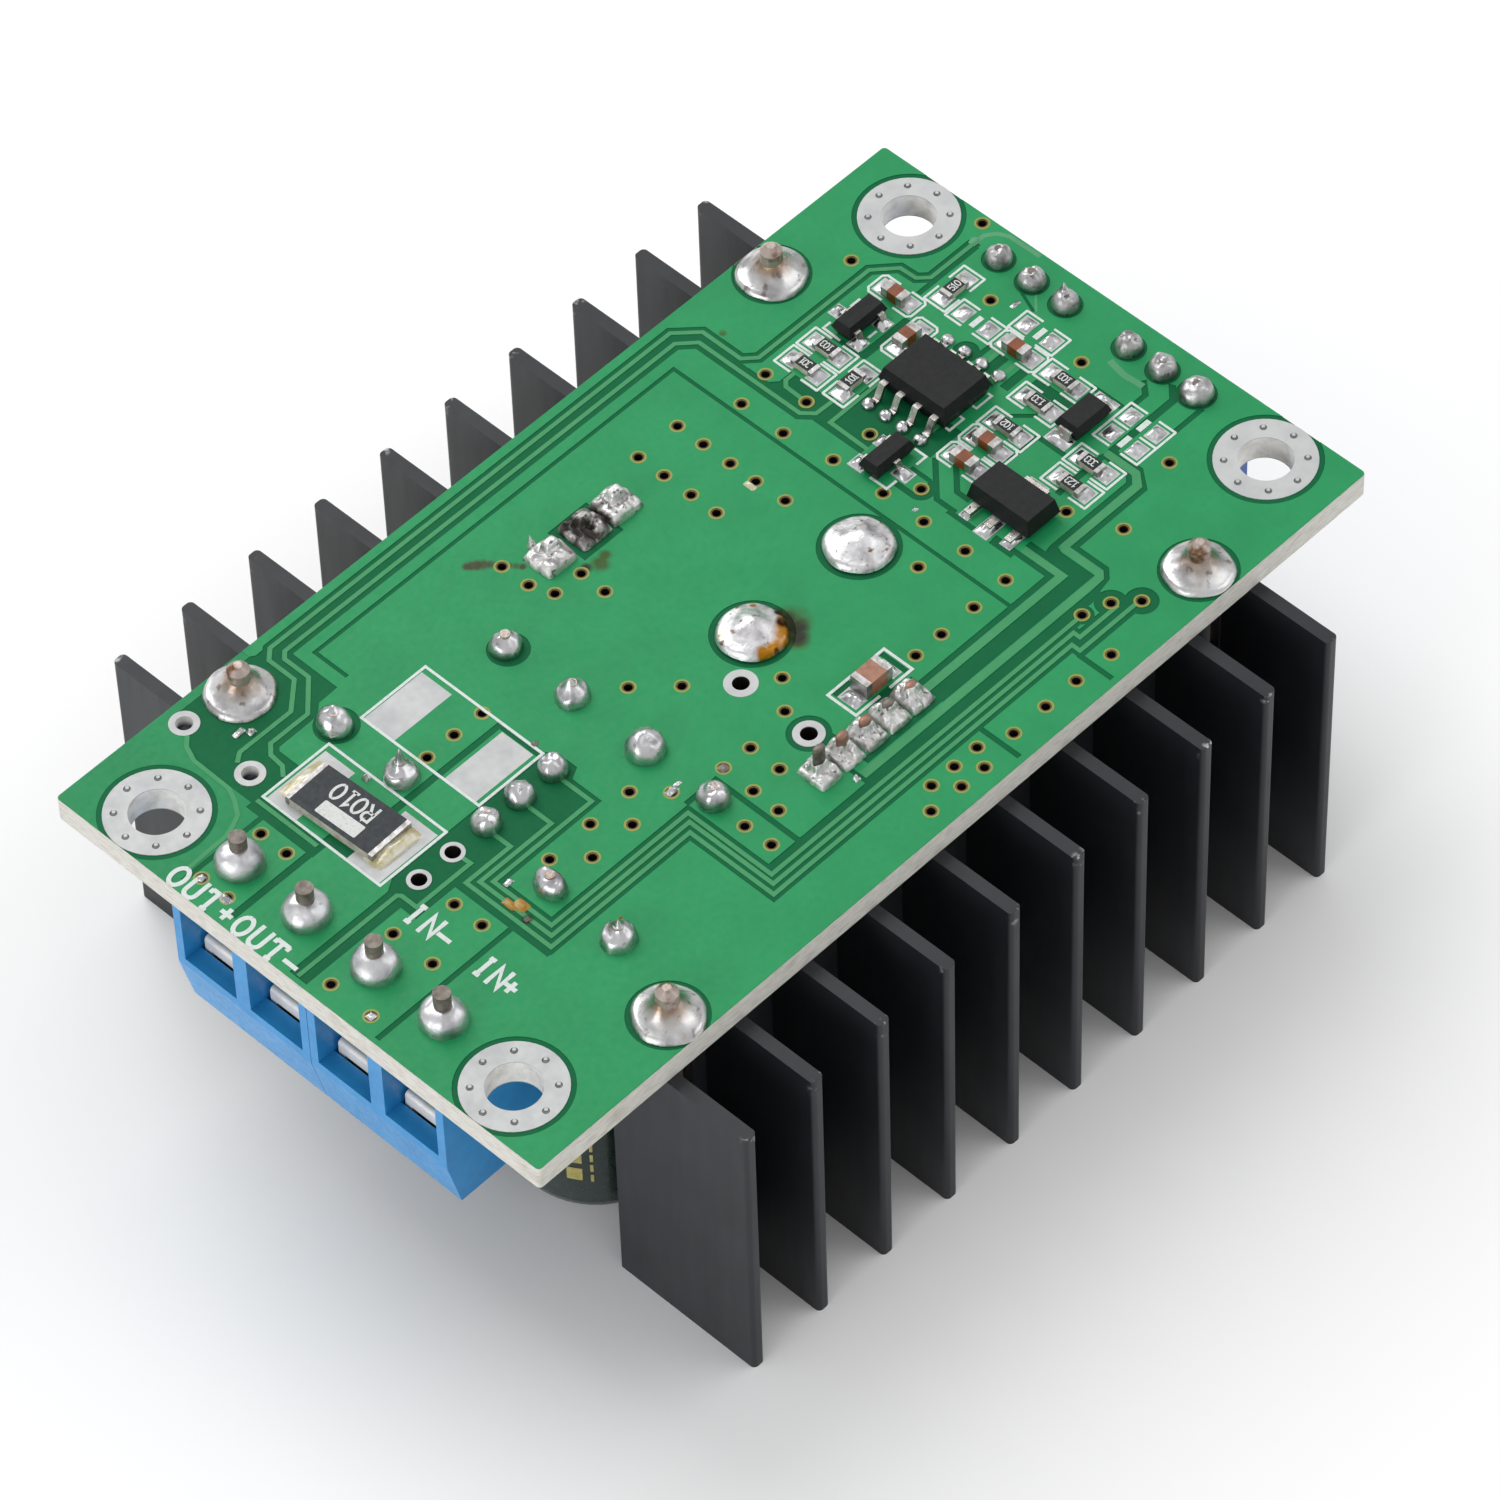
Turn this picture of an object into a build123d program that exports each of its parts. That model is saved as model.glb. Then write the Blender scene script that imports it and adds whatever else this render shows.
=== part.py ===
from build123d import *
import math
import os

# Step-down converter module, in millimetres.
# The origin is the centre of the board on its solder face, and the module stands on
# its heatsinks with that face up. X runs from the terminals to the trimmers.

# Board
BOARD_LENGTH = 65.0
BOARD_WIDTH = 36.5
BOARD_THICKNESS = 1.6
BOARD_CORNER = 0.25
MOUNT_INSET_X = 3.0
MOUNT_INSET_Y = 4.75
MOUNT_HOLE = 3.2
HOLE_CLEARANCE = 0.1
OVERCUT = 1.0

# Heatsinks, extruded along Z and standing on end under the board
SINK_HEIGHT = 20.6
SINK_INSET = 4.25
SINK_BASE = 2.0
SINK_DEPTH = 10.0
FIN_COUNT = 10
FIN_PITCH = 5.1
FIN_THICKNESS = 0.85
FIN_TIP_ROUND = 0.3
SINK_PIN_DIAMETER = 1.3
SINK_PIN_SPACING = 41.7
SINK_PIN_SET_OVER = -0.17
SINK_PIN_DEPTH = 4.6
SINK_PIN_STANDOUT = 2.45
SINK_PIN_POINT = 0.4
CHANNEL_WALL = 0.65
CHANNEL_SLOT = 0.7
CHANNEL_OUTSET = 0.15

# Power packages, screwed to the heatsinks
PACKAGE_WIDTH = 10.1
TAB_HEIGHT = 15.5
TAB_THICKNESS = 1.3
TAB_HOLE = 3.6
TAB_HOLE_INSET = 2.8
TAB_CHAMFER = 0.8
MOULD_HEIGHT = 9.0
MOULD_THICKNESS = 3.2
MOULD_CHAMFER = 0.6
PACKAGE_DROP = 3.7
LEAD_PLANE = 2.95
LEAD_WIDTH = 0.8
LEAD_THICKNESS = 0.5
LEAD_SHOULDER_WIDTH = 1.3
LEAD_SHOULDER_LENGTH = 2.2
LEAD_STANDOUT = 0.3
PACKAGE_CAN_GAP = 0.53
REGULATOR_PITCH = 1.8
REGULATOR_LEAD_COUNT = 5
REGULATOR_SET_OVER = -0.19
DIODE_PITCH = 2.54
DIODE_LEAD_COUNT = 3
PAD_THICKNESS = 0.3
PAD_MARGIN = 0.6
PACKAGE_SCREW = 3.0
PACKAGE_SCREW_CLEARANCE = 0.05
PACKAGE_SCREW_OUT = 1.2
PACKAGE_HEAD = 5.4
PACKAGE_HEAD_HEIGHT = 2.0
CROSS_WIDTH = 0.8
CROSS_DEPTH = 0.9

# Electrolytic capacitors
CAN_DIAMETER = 10.0
CAN_HEIGHT = 17.7
CAN_ROUND = 0.6
CAN_GROOVE_DEPTH = 0.5
CAN_GROOVE_HEIGHT = 1.2
CAN_GROOVE_FROM_BUNG = 2.0
CAN_RIM = 0.8
BUNG_THICKNESS = 1.2
BUNG_STANDOUT = 0.1
CAN_STANDOFF = 0.3
CAN_LEAD = 0.6
CAN_LEAD_PITCH = 5.08
CAN_GAP_TERMINAL = 0.35
CAN_GAP = 0.2
CAN_GAP_ROWS = 0.6
CAN_GAP_SINK = 0.8
VENT_WIDTH = 0.35
VENT_DEPTH = 0.15
VENT_LENGTH = 6.0

# Inductor, a wound ring standing on edge
CORE_OUTER = 15.6
CORE_INNER = 8.8
CORE_WIDTH = 6.6
CORE_ROUND = 0.8
WIRE = 1.0
WIRE_GAP = 0.03
WINDING_TURNS = 16
INDUCTOR_GAP = 0.2
INDUCTOR_STANDOFF = 0.4
INDUCTOR_Y = -1.35
INDUCTOR_LEAD_SPACING = 8.5
INDUCTOR_LEAD_OUT = 0.1

# Trimmers
TRIMMER_LENGTH = 9.53
TRIMMER_WIDTH = 4.83
TRIMMER_HEIGHT = 9.7
TRIMMER_CHAMFER = 0.35
TRIMMER_FOOT = 0.35
TRIMMER_FOOT_SIZE = 1.0
TRIMMER_GAP = 0.36
TRIMMER_SETBACK = 0.05
TRIMMER_PIN = 0.5
TRIMMER_PIN_PITCH = 2.54
TRIMMER_PIN_OFFSET = 0.45
TRIMMER_SCREW = 2.2
TRIMMER_SCREW_DEPTH = 1.6
TRIMMER_SCREW_OUT = 0.7
TRIMMER_SCREW_INSET = 1.5
TRIMMER_SLOT = 0.5
RUNNING_GAP = 0.05

# Screw terminals, two blocks of two
TERMINAL_PITCH = 5.08
TERMINAL_BLOCK_WIDTH = 10.26
TERMINAL_BLOCK_GAP = 0.04
TERMINAL_DEPTH = 7.6
TERMINAL_HEIGHT = 10.0
TERMINAL_SETBACK = 0.7
TERMINAL_KNEE = 6.3
TERMINAL_LEAN = 0.85
TERMINAL_BACK_CHAMFER = 0.6
CELL_WIDTH = 4.0
CELL_SILL = 5.7
CELL_BACK_WALL = 1.9
CELL_CEILING = 1.35
CLAMP_WIDTH = 3.6
CLAMP_DEPTH = 3.2
CLAMP_FRONT = 1.3
CLAMP_BAR = 0.9
CLAMP_PLATE = 0.8
CLAMP_SIDE = 0.5
CLAMP_TRAVEL = 1.35
CLAMP_SIDE_GAP = 0.15
CONTACT_THICKNESS = 0.6
CONTACT_WIDTH = 2.2
CONTACT_FOOT_GAP = 0.3
TERMINAL_PIN = 1.0
TERMINAL_SCREW = 2.5
TERMINAL_SCREW_HEAD = 3.6
TERMINAL_SCREW_HEAD_HEIGHT = 0.85
TERMINAL_SCREW_SLOT = 0.6
TERMINAL_SCREW_SLOT_DEPTH = 0.45

# Indicator lamp
LAMP_Y = -0.1
LAMP_GAP_OUTER = 0.835
LAMP_GAP_INNER = 0.764
LAMP_DIAMETER = 5.0
LAMP_FLANGE = 5.8
LAMP_FLANGE_HEIGHT = 1.0
LAMP_HEIGHT = 8.6
LAMP_STANDOFF = 1.0
LAMP_LEAD = 0.5
LAMP_LEAD_PITCH = 2.54
SPARE_HOLE = 0.9
SPARE_HOLE_COUNT = 2

# Soldered joints, as base radius and height
JOINT_TERMINAL = (1.4, 1.5)
JOINT_SINK = (2.08, 1.15)
JOINT_INDUCTOR = (2.05, 0.9)
JOINT_CAN = (1.15, 0.95)
JOINT_TRIMMER = (0.8, 0.7)
JOINT_LAMP = (0.8, 0.65)
JOINT_SWELL = 0.22
JOINT_NECK = 0.12
POWER_JOINT_LENGTH = 2.2
POWER_JOINT_MARGIN = 0.06
POWER_JOINT_HEIGHT = 0.8
POWER_JOINT_TAPER = 0.35
TERMINAL_TIP = 2.35
CAN_LEAD_TIP = 1.25
FINE_LEAD_TIP = 1.0

# Chip parts on the solder face, as distance in from the trimmer end, centre y and 1 if they lie along X
CHIP_LENGTH = 1.6
CHIP_WIDTH = 0.8
RESISTOR_END = 0.28
RESISTOR_HEIGHT = 0.45
CAPACITOR_END = 0.45
CAPACITOR_HEIGHT = 0.75
CHIP_RESISTORS = (
    (15.33, 9.87, 0), (13.61, 9.87, 0), (14.45, 7.2, 1), (5.45, 7.75, 1), (11.1, -1.55, 0),
    (8.6, -1.58, 0), (6.4, -1.57, 0), (11.8, -7.0, 0), (9.95, -6.77, 0),
)
CHIP_CAPACITORS = ((10.0, 7.12, 1), (8.1, 9.75, 0), (6.5, 2.0, 0), (14.55, -1.5, 0), (12.68, -1.5, 0))
SHUNT_FROM_TERMINAL = -0.03
SHUNT_Y = 5.77
SHUNT_LENGTH = 6.4
SHUNT_WIDTH = 3.1
SHUNT_HEIGHT = 0.6
SHUNT_END = 0.3
SHUNT_TURN = 2.2
FILTER_SET_OVER = 2.65
FILTER_GAP = 0.5
FILTER_LENGTH = 2.0
FILTER_WIDTH = 1.25
FILTER_HEIGHT = 1.15
FILTER_END = 0.4

# Integrated parts on the solder face, placed in from the trimmer end
AMPLIFIER_INSET = 11.73
AMPLIFIER_Y = 3.37
AMPLIFIER_LENGTH = 5.0
AMPLIFIER_WIDTH = 3.85
AMPLIFIER_HEIGHT = 1.75
AMPLIFIER_SPAN = 6.3
AMPLIFIER_PITCH = 1.27
AMPLIFIER_LEAD = 0.42
SMALL_LENGTH = 3.1
SMALL_WIDTH = 1.45
SMALL_HEIGHT = 1.15
SMALL_SPAN = 2.6
SMALL_PITCH = 1.9
SMALL_LEAD = 0.42
SMALL_PARTS = ((10.9, 9.92, 1), (17.35, 1.75, -1))
SIGNAL_INSET = 7.88
SIGNAL_Y = -4.3
SIGNAL_LENGTH = 2.85
SIGNAL_WIDTH = 1.75
SIGNAL_HEIGHT = 1.15
SIGNAL_SPAN = 3.75
SIGNAL_LEAD = 0.9
SUPPLY_INSET = 15.1
SUPPLY_Y = -5.68
SUPPLY_LENGTH = 4.6
SUPPLY_WIDTH = 2.65
SUPPLY_HEIGHT = 1.5
SUPPLY_PARTING = 0.3
SUPPLY_PITCH = 1.5
SUPPLY_LEAD = 0.48
SUPPLY_LEAD_OUT = 1.05
SUPPLY_TAB = 1.7
SUPPLY_TAB_OUT = 0.95
FOOT_THICKNESS = 0.2
MOULD_DRAFT = 0.22
MOULD_PARTING = 0.55


def beside(reach, across):
    """How far apart along X two pieces stand that are reach apart and lie across apart along Y."""
    return math.sqrt(max(reach**2 - across**2, 0))


# Places that follow from the sizes above
UNDER = -BOARD_THICKNESS
BOARD_END = BOARD_LENGTH / 2
MOUNT_X = BOARD_END - MOUNT_INSET_X
MOUNT_Y = BOARD_WIDTH / 2 - MOUNT_INSET_Y
SINK_FACE = BOARD_WIDTH / 2 - SINK_INSET
SINK_PIN_RADIUS = SINK_PIN_DIAMETER / 2
SINK_PIN_Y = SINK_FACE + SINK_BASE + CHANNEL_OUTSET
SINK_BOTTOM = UNDER - SINK_HEIGHT
PACKAGE_FACE = SINK_FACE - PAD_THICKNESS
PACKAGE_TOP = UNDER - PACKAGE_DROP
TAB_HOLE_Z = PACKAGE_TOP - TAB_HEIGHT + TAB_HOLE_INSET
MOULD_FRONT = PACKAGE_FACE - TAB_THICKNESS - MOULD_THICKNESS
LEAD_Y = PACKAGE_FACE - LEAD_PLANE
TERMINAL_FRONT = TERMINAL_SETBACK - BOARD_END
TERMINAL_BACK = TERMINAL_FRONT + TERMINAL_DEPTH
TERMINAL_TOP = UNDER - TERMINAL_HEIGHT
CLAMP_X = TERMINAL_FRONT + CLAMP_FRONT + CLAMP_DEPTH / 2
SILL_Z = UNDER - CELL_SILL
CEILING_Z = TERMINAL_TOP + CELL_CEILING
BLOCK_Y = (TERMINAL_BLOCK_WIDTH + TERMINAL_BLOCK_GAP) / 2
CELL_YS = [block * BLOCK_Y + cell * TERMINAL_PITCH / 2 for block in (1, -1) for cell in (1, -1)]
CAN_RADIUS = CAN_DIAMETER / 2
CAN_X_OUTER = TERMINAL_BACK + CAN_GAP_TERMINAL + CAN_RADIUS
CAN_Y_OUTER = SINK_FACE - CAN_GAP_SINK - CAN_RADIUS
CAN_Y_INNER = CAN_RADIUS + CAN_GAP_ROWS / 2
LAMP_CAN_REACH = CAN_RADIUS + LAMP_FLANGE / 2
LAMP_X = CAN_X_OUTER + beside(LAMP_CAN_REACH + LAMP_GAP_OUTER, CAN_Y_OUTER + LAMP_Y)
CAN_X_INNER = max(
    LAMP_X + beside(LAMP_CAN_REACH + LAMP_GAP_INNER, CAN_Y_INNER + LAMP_Y),
    CAN_X_OUTER + beside(CAN_DIAMETER + CAN_GAP, CAN_Y_OUTER - CAN_Y_INNER),
)
CAN_PLACES = {
    "capacitor_output_outer": (CAN_X_OUTER, CAN_Y_OUTER),
    "capacitor_output_inner": (CAN_X_INNER, CAN_Y_INNER),
    "capacitor_input_inner": (CAN_X_INNER, -CAN_Y_INNER),
    "capacitor_input_outer": (CAN_X_OUTER, -CAN_Y_OUTER),
}
PACKAGE_END = CAN_X_INNER + beside(CAN_RADIUS + PACKAGE_CAN_GAP, MOULD_FRONT - CAN_Y_INNER)
SINK_CENTRE_X = PACKAGE_END + PACKAGE_WIDTH / 2
SINK_PIN_XS = [SINK_CENTRE_X + SINK_PIN_SET_OVER + side * SINK_PIN_SPACING / 2 for side in (-1, 1)]
SHUNT_X = TERMINAL_BACK + SHUNT_FROM_TERMINAL + SHUNT_WIDTH / 2
FILTER_X = SINK_CENTRE_X + FILTER_SET_OVER
FILTER_Y = POWER_JOINT_LENGTH / 2 + FILTER_GAP + FILTER_WIDTH / 2 - LEAD_Y
WIRE_RADIUS = WIRE / 2
WINDING_OUTER = CORE_OUTER / 2 + WIRE_GAP + WIRE_RADIUS
WINDING_INNER = CORE_INNER / 2 - WIRE_GAP - WIRE_RADIUS
WINDING_SIDE = CORE_WIDTH / 2 + WIRE_GAP + WIRE_RADIUS
INDUCTOR_X = CAN_X_INNER + CAN_RADIUS + INDUCTOR_GAP + WINDING_OUTER + WIRE_RADIUS
INDUCTOR_Z = UNDER - INDUCTOR_STANDOFF - WINDING_OUTER - WIRE_RADIUS
INDUCTOR_LEAD_XS = [INDUCTOR_X + side * INDUCTOR_LEAD_SPACING / 2 for side in (-1, 1)]
TRIMMER_X = BOARD_END - TRIMMER_SETBACK - TRIMMER_WIDTH / 2
TRIMMER_Y = (TRIMMER_LENGTH + TRIMMER_GAP) / 2
TRIMMER_PIN_X = TRIMMER_X + TRIMMER_PIN_OFFSET
TRIMMER_TOP = UNDER - TRIMMER_FOOT - TRIMMER_HEIGHT
TRIMMER_SCREW_Y = TRIMMER_LENGTH / 2 - TRIMMER_SCREW_INSET


def block(x, y, z):
    """A box between two limits on each axis."""
    size = [limits[1] - limits[0] for limits in (x, y, z)]
    middle = [(limits[0] + limits[1]) / 2 for limits in (x, y, z)]
    return Pos(*middle) * Box(*size)


def rod(x, y, radius, low, high):
    """A round bar along Z between two heights."""
    return Pos(x, y, (low + high) / 2) * Cylinder(radius, high - low)


def square_rod(x, y, width, depth, low, high):
    """A rectangular bar along Z between two heights."""
    return Pos(x, y, (low + high) / 2) * Box(width, depth, high - low)


def turned(points):
    """A solid turned about Z from a closed outline of radius and height."""
    outline = make_face(Polyline(*[(radius, 0, height) for radius, height in points], close=True))
    return revolve(outline, Axis.Z)


def group(solids):
    """Separate solids that share one node."""
    return Compound(children=list(solids))


def pair(make):
    """The same piece for the two sides of the module, at +Y and at -Y."""
    right = make()
    return [right, right.mirror(Plane.XZ)]


def row(count, pitch):
    """Evenly spaced offsets about zero."""
    return [(index - (count - 1) / 2) * pitch for index in range(count)]


# Where each lead passes through the board, with the radius of its hole
def terminal_pins():
    return [(CLAMP_X, y) for y in CELL_YS]


def sink_pins():
    return [(x, side * SINK_PIN_Y) for side in (1, -1) for x in SINK_PIN_XS]


def can_leads():
    offsets = row(2, CAN_LEAD_PITCH)
    return [(x, y + offset) for x, y in CAN_PLACES.values() for offset in offsets]


def inductor_leads():
    return [(x, INDUCTOR_Y) for x in INDUCTOR_LEAD_XS]


def trimmer_pins():
    offsets = row(3, TRIMMER_PIN_PITCH)
    return [(TRIMMER_PIN_X, side * TRIMMER_Y + offset) for side in (1, -1) for offset in offsets]


def lamp_leads():
    return [(LAMP_X + offset, LAMP_Y) for offset in row(3, LAMP_LEAD_PITCH)]


def diode_leads():
    return [(SINK_CENTRE_X + offset, LEAD_Y) for offset in row(DIODE_LEAD_COUNT, DIODE_PITCH)]


def regulator_leads():
    middle = SINK_CENTRE_X + REGULATOR_SET_OVER
    return [(middle + offset, -LEAD_Y) for offset in row(REGULATOR_LEAD_COUNT, REGULATOR_PITCH)]


# Board
def circuit_board():
    outline = RectangleRounded(BOARD_LENGTH, BOARD_WIDTH, BOARD_CORNER)
    board = Pos(0, 0, UNDER) * extrude(outline, BOARD_THICKNESS)
    flat_lead = math.hypot(LEAD_WIDTH, LEAD_THICKNESS) / 2
    drilled = [
        (terminal_pins(), TERMINAL_PIN / 2), (sink_pins(), SINK_PIN_RADIUS), (can_leads(), CAN_LEAD / 2),
        (inductor_leads(), WIRE_RADIUS), (trimmer_pins(), TRIMMER_PIN / 2),
        (lamp_leads(), LAMP_LEAD / math.sqrt(2)), (diode_leads() + regulator_leads(), flat_lead),
    ]
    holes = [(x, y, radius + HOLE_CLEARANCE) for places, radius in drilled for x, y in places]
    holes += [(x, y, MOUNT_HOLE / 2) for x in (-MOUNT_X, MOUNT_X) for y in (-MOUNT_Y, MOUNT_Y)]
    first_spare = LAMP_X - 2 * LAMP_LEAD_PITCH
    spares = [first_spare - index * LAMP_LEAD_PITCH for index in range(SPARE_HOLE_COUNT)]
    holes += [(x, LAMP_Y, SPARE_HOLE / 2) for x in spares]
    return board - [rod(x, y, radius, UNDER - OVERCUT, OVERCUT) for x, y, radius in holes]


# Heatsinks
def heatsink():
    """The +Y heatsink: a base with outward fins, two pin channels and a tapped hole."""
    half = (FIN_COUNT - 1) * FIN_PITCH / 2 + FIN_THICKNESS / 2
    base_outer = SINK_FACE + SINK_BASE
    fin_tip = SINK_FACE + SINK_DEPTH
    base = Pos(SINK_CENTRE_X, (SINK_FACE + base_outer) / 2) * Rectangle(2 * half, SINK_BASE)
    fin_middle = (SINK_FACE + fin_tip) / 2
    fins = [
        Pos(SINK_CENTRE_X + offset, fin_middle) * RectangleRounded(FIN_THICKNESS, SINK_DEPTH, FIN_TIP_ROUND)
        for offset in row(FIN_COUNT, FIN_PITCH)
    ]
    bosses = [Pos(x, SINK_PIN_Y) * Circle(SINK_PIN_RADIUS + CHANNEL_WALL) for x in SINK_PIN_XS]
    grooves = [Pos(x, SINK_PIN_Y) * Circle(SINK_PIN_RADIUS) for x in SINK_PIN_XS]
    reach = SINK_PIN_RADIUS + CHANNEL_WALL
    slot = Rectangle(CHANNEL_SLOT, reach + CHANNEL_WALL)
    slots = [Pos(x, SINK_PIN_Y + reach / 2) * slot for x in SINK_PIN_XS]
    section = base + fins + bosses - grooves - slots
    body = Pos(0, 0, SINK_BOTTOM) * extrude(section, SINK_HEIGHT)
    middle = (SINK_FACE + base_outer) / 2
    tapped = Pos(SINK_CENTRE_X, middle, TAB_HOLE_Z) * Rot(90, 0, 0)
    return body - tapped * Cylinder(PACKAGE_SCREW / 2, SINK_BASE * 2)


def heatsink_pin(x, y):
    low = UNDER - SINK_PIN_DEPTH
    pin = rod(x, y, SINK_PIN_RADIUS, low, SINK_PIN_STANDOUT)
    return chamfer(pin.edges().filter_by(GeomType.CIRCLE), SINK_PIN_POINT)


# Power packages, made for +Y and mirrored for -Y
def package_tab():
    low = PACKAGE_TOP - TAB_HEIGHT
    half = PACKAGE_WIDTH / 2
    tab = block((-half, half), (PACKAGE_FACE - TAB_THICKNESS, PACKAGE_FACE), (low, PACKAGE_TOP))
    corners = tab.edges().filter_by(Axis.Y).group_by(Axis.Z)[0]
    tab = chamfer(corners, TAB_CHAMFER)
    hole = Pos(0, PACKAGE_FACE, TAB_HOLE_Z) * Rot(90, 0, 0) * Cylinder(TAB_HOLE / 2, TAB_THICKNESS * 4)
    return Pos(SINK_CENTRE_X, 0, 0) * (tab - hole)


def package_mould():
    half = PACKAGE_WIDTH / 2
    back = PACKAGE_FACE - TAB_THICKNESS
    body = block((-half, half), (back - MOULD_THICKNESS, back), (PACKAGE_TOP - MOULD_HEIGHT, PACKAGE_TOP))
    front = body.faces().sort_by(Axis.Y)[0]
    return Pos(SINK_CENTRE_X, 0, 0) * chamfer(front.edges(), MOULD_CHAMFER)


def package_lead(x, y, shouldered):
    lead = square_rod(x, y, LEAD_WIDTH, LEAD_THICKNESS, PACKAGE_TOP, POWER_JOINT_HEIGHT + LEAD_STANDOUT)
    if shouldered:
        low = PACKAGE_TOP
        lead += square_rod(x, y, LEAD_SHOULDER_WIDTH, LEAD_THICKNESS, low, low + LEAD_SHOULDER_LENGTH)
    return lead


def thermal_pad():
    low = PACKAGE_TOP - TAB_HEIGHT - PAD_MARGIN
    half = PACKAGE_WIDTH / 2 + PAD_MARGIN
    pad = block((-half, half), (PACKAGE_FACE, SINK_FACE), (low, PACKAGE_TOP + PAD_MARGIN))
    hole = Pos(0, SINK_FACE, TAB_HOLE_Z) * Rot(90, 0, 0) * Cylinder(TAB_HOLE / 2, PAD_THICKNESS * 4)
    return Pos(SINK_CENTRE_X, 0, 0) * (pad - hole)


def package_screw():
    """A pan head with a cross recess on the tab, and a shank through the heatsink's base."""
    head_back = PACKAGE_FACE - TAB_THICKNESS
    tip = SINK_FACE + SINK_BASE + PACKAGE_SCREW_OUT
    radius = PACKAGE_SCREW / 2 - PACKAGE_SCREW_CLEARANCE
    head = PACKAGE_HEAD / 2
    rim = PACKAGE_HEAD_HEIGHT * 0.6
    outline = [(0, -PACKAGE_HEAD_HEIGHT), (head * 0.6, -PACKAGE_HEAD_HEIGHT), (head, -rim), (head, 0),
               (radius, 0), (radius, tip - head_back), (0, tip - head_back)]
    screw = turned(outline)
    for turn in (0, 90):
        recess = Rot(0, 0, turn) * Box(PACKAGE_HEAD * 0.55, CROSS_WIDTH, CROSS_DEPTH * 2)
        screw -= Pos(0, 0, -PACKAGE_HEAD_HEIGHT) * recess
    return Pos(SINK_CENTRE_X, head_back, TAB_HOLE_Z) * Rot(-90, 0, 0) * screw


# Capacitors
def capacitor_can(x, y):
    """A crimped can, open at the board end, with a vent cross pressed in its far end."""
    top = UNDER - CAN_STANDOFF
    bottom = top - CAN_HEIGHT
    groove = top - CAN_GROOVE_FROM_BUNG
    middle = groove - CAN_GROOVE_HEIGHT / 2
    seat = CAN_RADIUS - CAN_RIM
    bung_floor = top - BUNG_THICKNESS + BUNG_STANDOUT
    outline = [
        (0, bottom), (CAN_RADIUS - CAN_ROUND, bottom), (CAN_RADIUS - CAN_ROUND * 0.3, bottom + CAN_ROUND * 0.3),
        (CAN_RADIUS, bottom + CAN_ROUND), (CAN_RADIUS, groove - CAN_GROOVE_HEIGHT),
        (CAN_RADIUS - CAN_GROOVE_DEPTH, middle), (CAN_RADIUS, groove), (CAN_RADIUS, top - CAN_ROUND),
        (CAN_RADIUS - CAN_ROUND * 0.6, top), (seat, top), (seat, bung_floor), (0, bung_floor),
    ]
    can = turned(outline)
    for turn in (45, 135):
        can -= Pos(0, 0, bottom) * Rot(0, 0, turn) * Box(VENT_LENGTH, VENT_WIDTH, VENT_DEPTH * 2)
    return Pos(x, y, 0) * can


def capacitor_bung(x, y):
    top = UNDER - CAN_STANDOFF + BUNG_STANDOUT
    return rod(x, y, CAN_RADIUS - CAN_RIM, top - BUNG_THICKNESS, top)


def capacitor_lead(x, y):
    return rod(x, y, CAN_LEAD / 2, UNDER - CAN_STANDOFF + BUNG_STANDOUT, CAN_LEAD_TIP)


# Inductor
def inductor_core():
    ring = Cylinder(CORE_OUTER / 2, CORE_WIDTH) - Cylinder(CORE_INNER / 2, CORE_WIDTH)
    ring = fillet(ring.edges().filter_by(GeomType.CIRCLE), CORE_ROUND)
    return Pos(INDUCTOR_X, INDUCTOR_Y, INDUCTOR_Z) * Rot(90, 0, 0) * ring


def ring_point(radius, angle, side):
    """A point on the winding, with its angle counted from straight up towards +X."""
    across = INDUCTOR_X + radius * math.sin(angle)
    return (across, INDUCTOR_Y + side * WINDING_SIDE, INDUCTOR_Z + radius * math.cos(angle))


def winding_route():
    """One wire: down from the board, round the ring turn by turn, and up to the board."""
    start = math.asin(INDUCTOR_LEAD_SPACING / 2 / WINDING_OUTER)
    step = (2 * math.pi - 2 * start) / WINDING_TURNS
    tip = JOINT_INDUCTOR[1] + INDUCTOR_LEAD_OUT
    x, y, z = ring_point(WINDING_OUTER, start, 0)
    route = [(x, y, tip), (x, y, z)]
    for turn in range(WINDING_TURNS):
        angle = start + turn * step
        route.append(ring_point(WINDING_OUTER, angle, 1))
        route.append(ring_point(WINDING_INNER, angle + step * 0.25, 1))
        route.append(ring_point(WINDING_INNER, angle + step * 0.5, -1))
        route.append(ring_point(WINDING_OUTER, angle + step * 0.75, -1))
    x, y, z = ring_point(WINDING_OUTER, 2 * math.pi - start, 0)
    return route + [(x, y, z), (x, y, tip)]


def inductor_winding():
    route = winding_route()
    bend = CORE_ROUND + WIRE_GAP + WIRE_RADIUS
    path = FilletPolyline(*route, radius=bend)
    section = Plane(origin=route[0], z_dir=(0, 0, -1)) * Circle(WIRE_RADIUS)
    return sweep(section, path)


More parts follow.
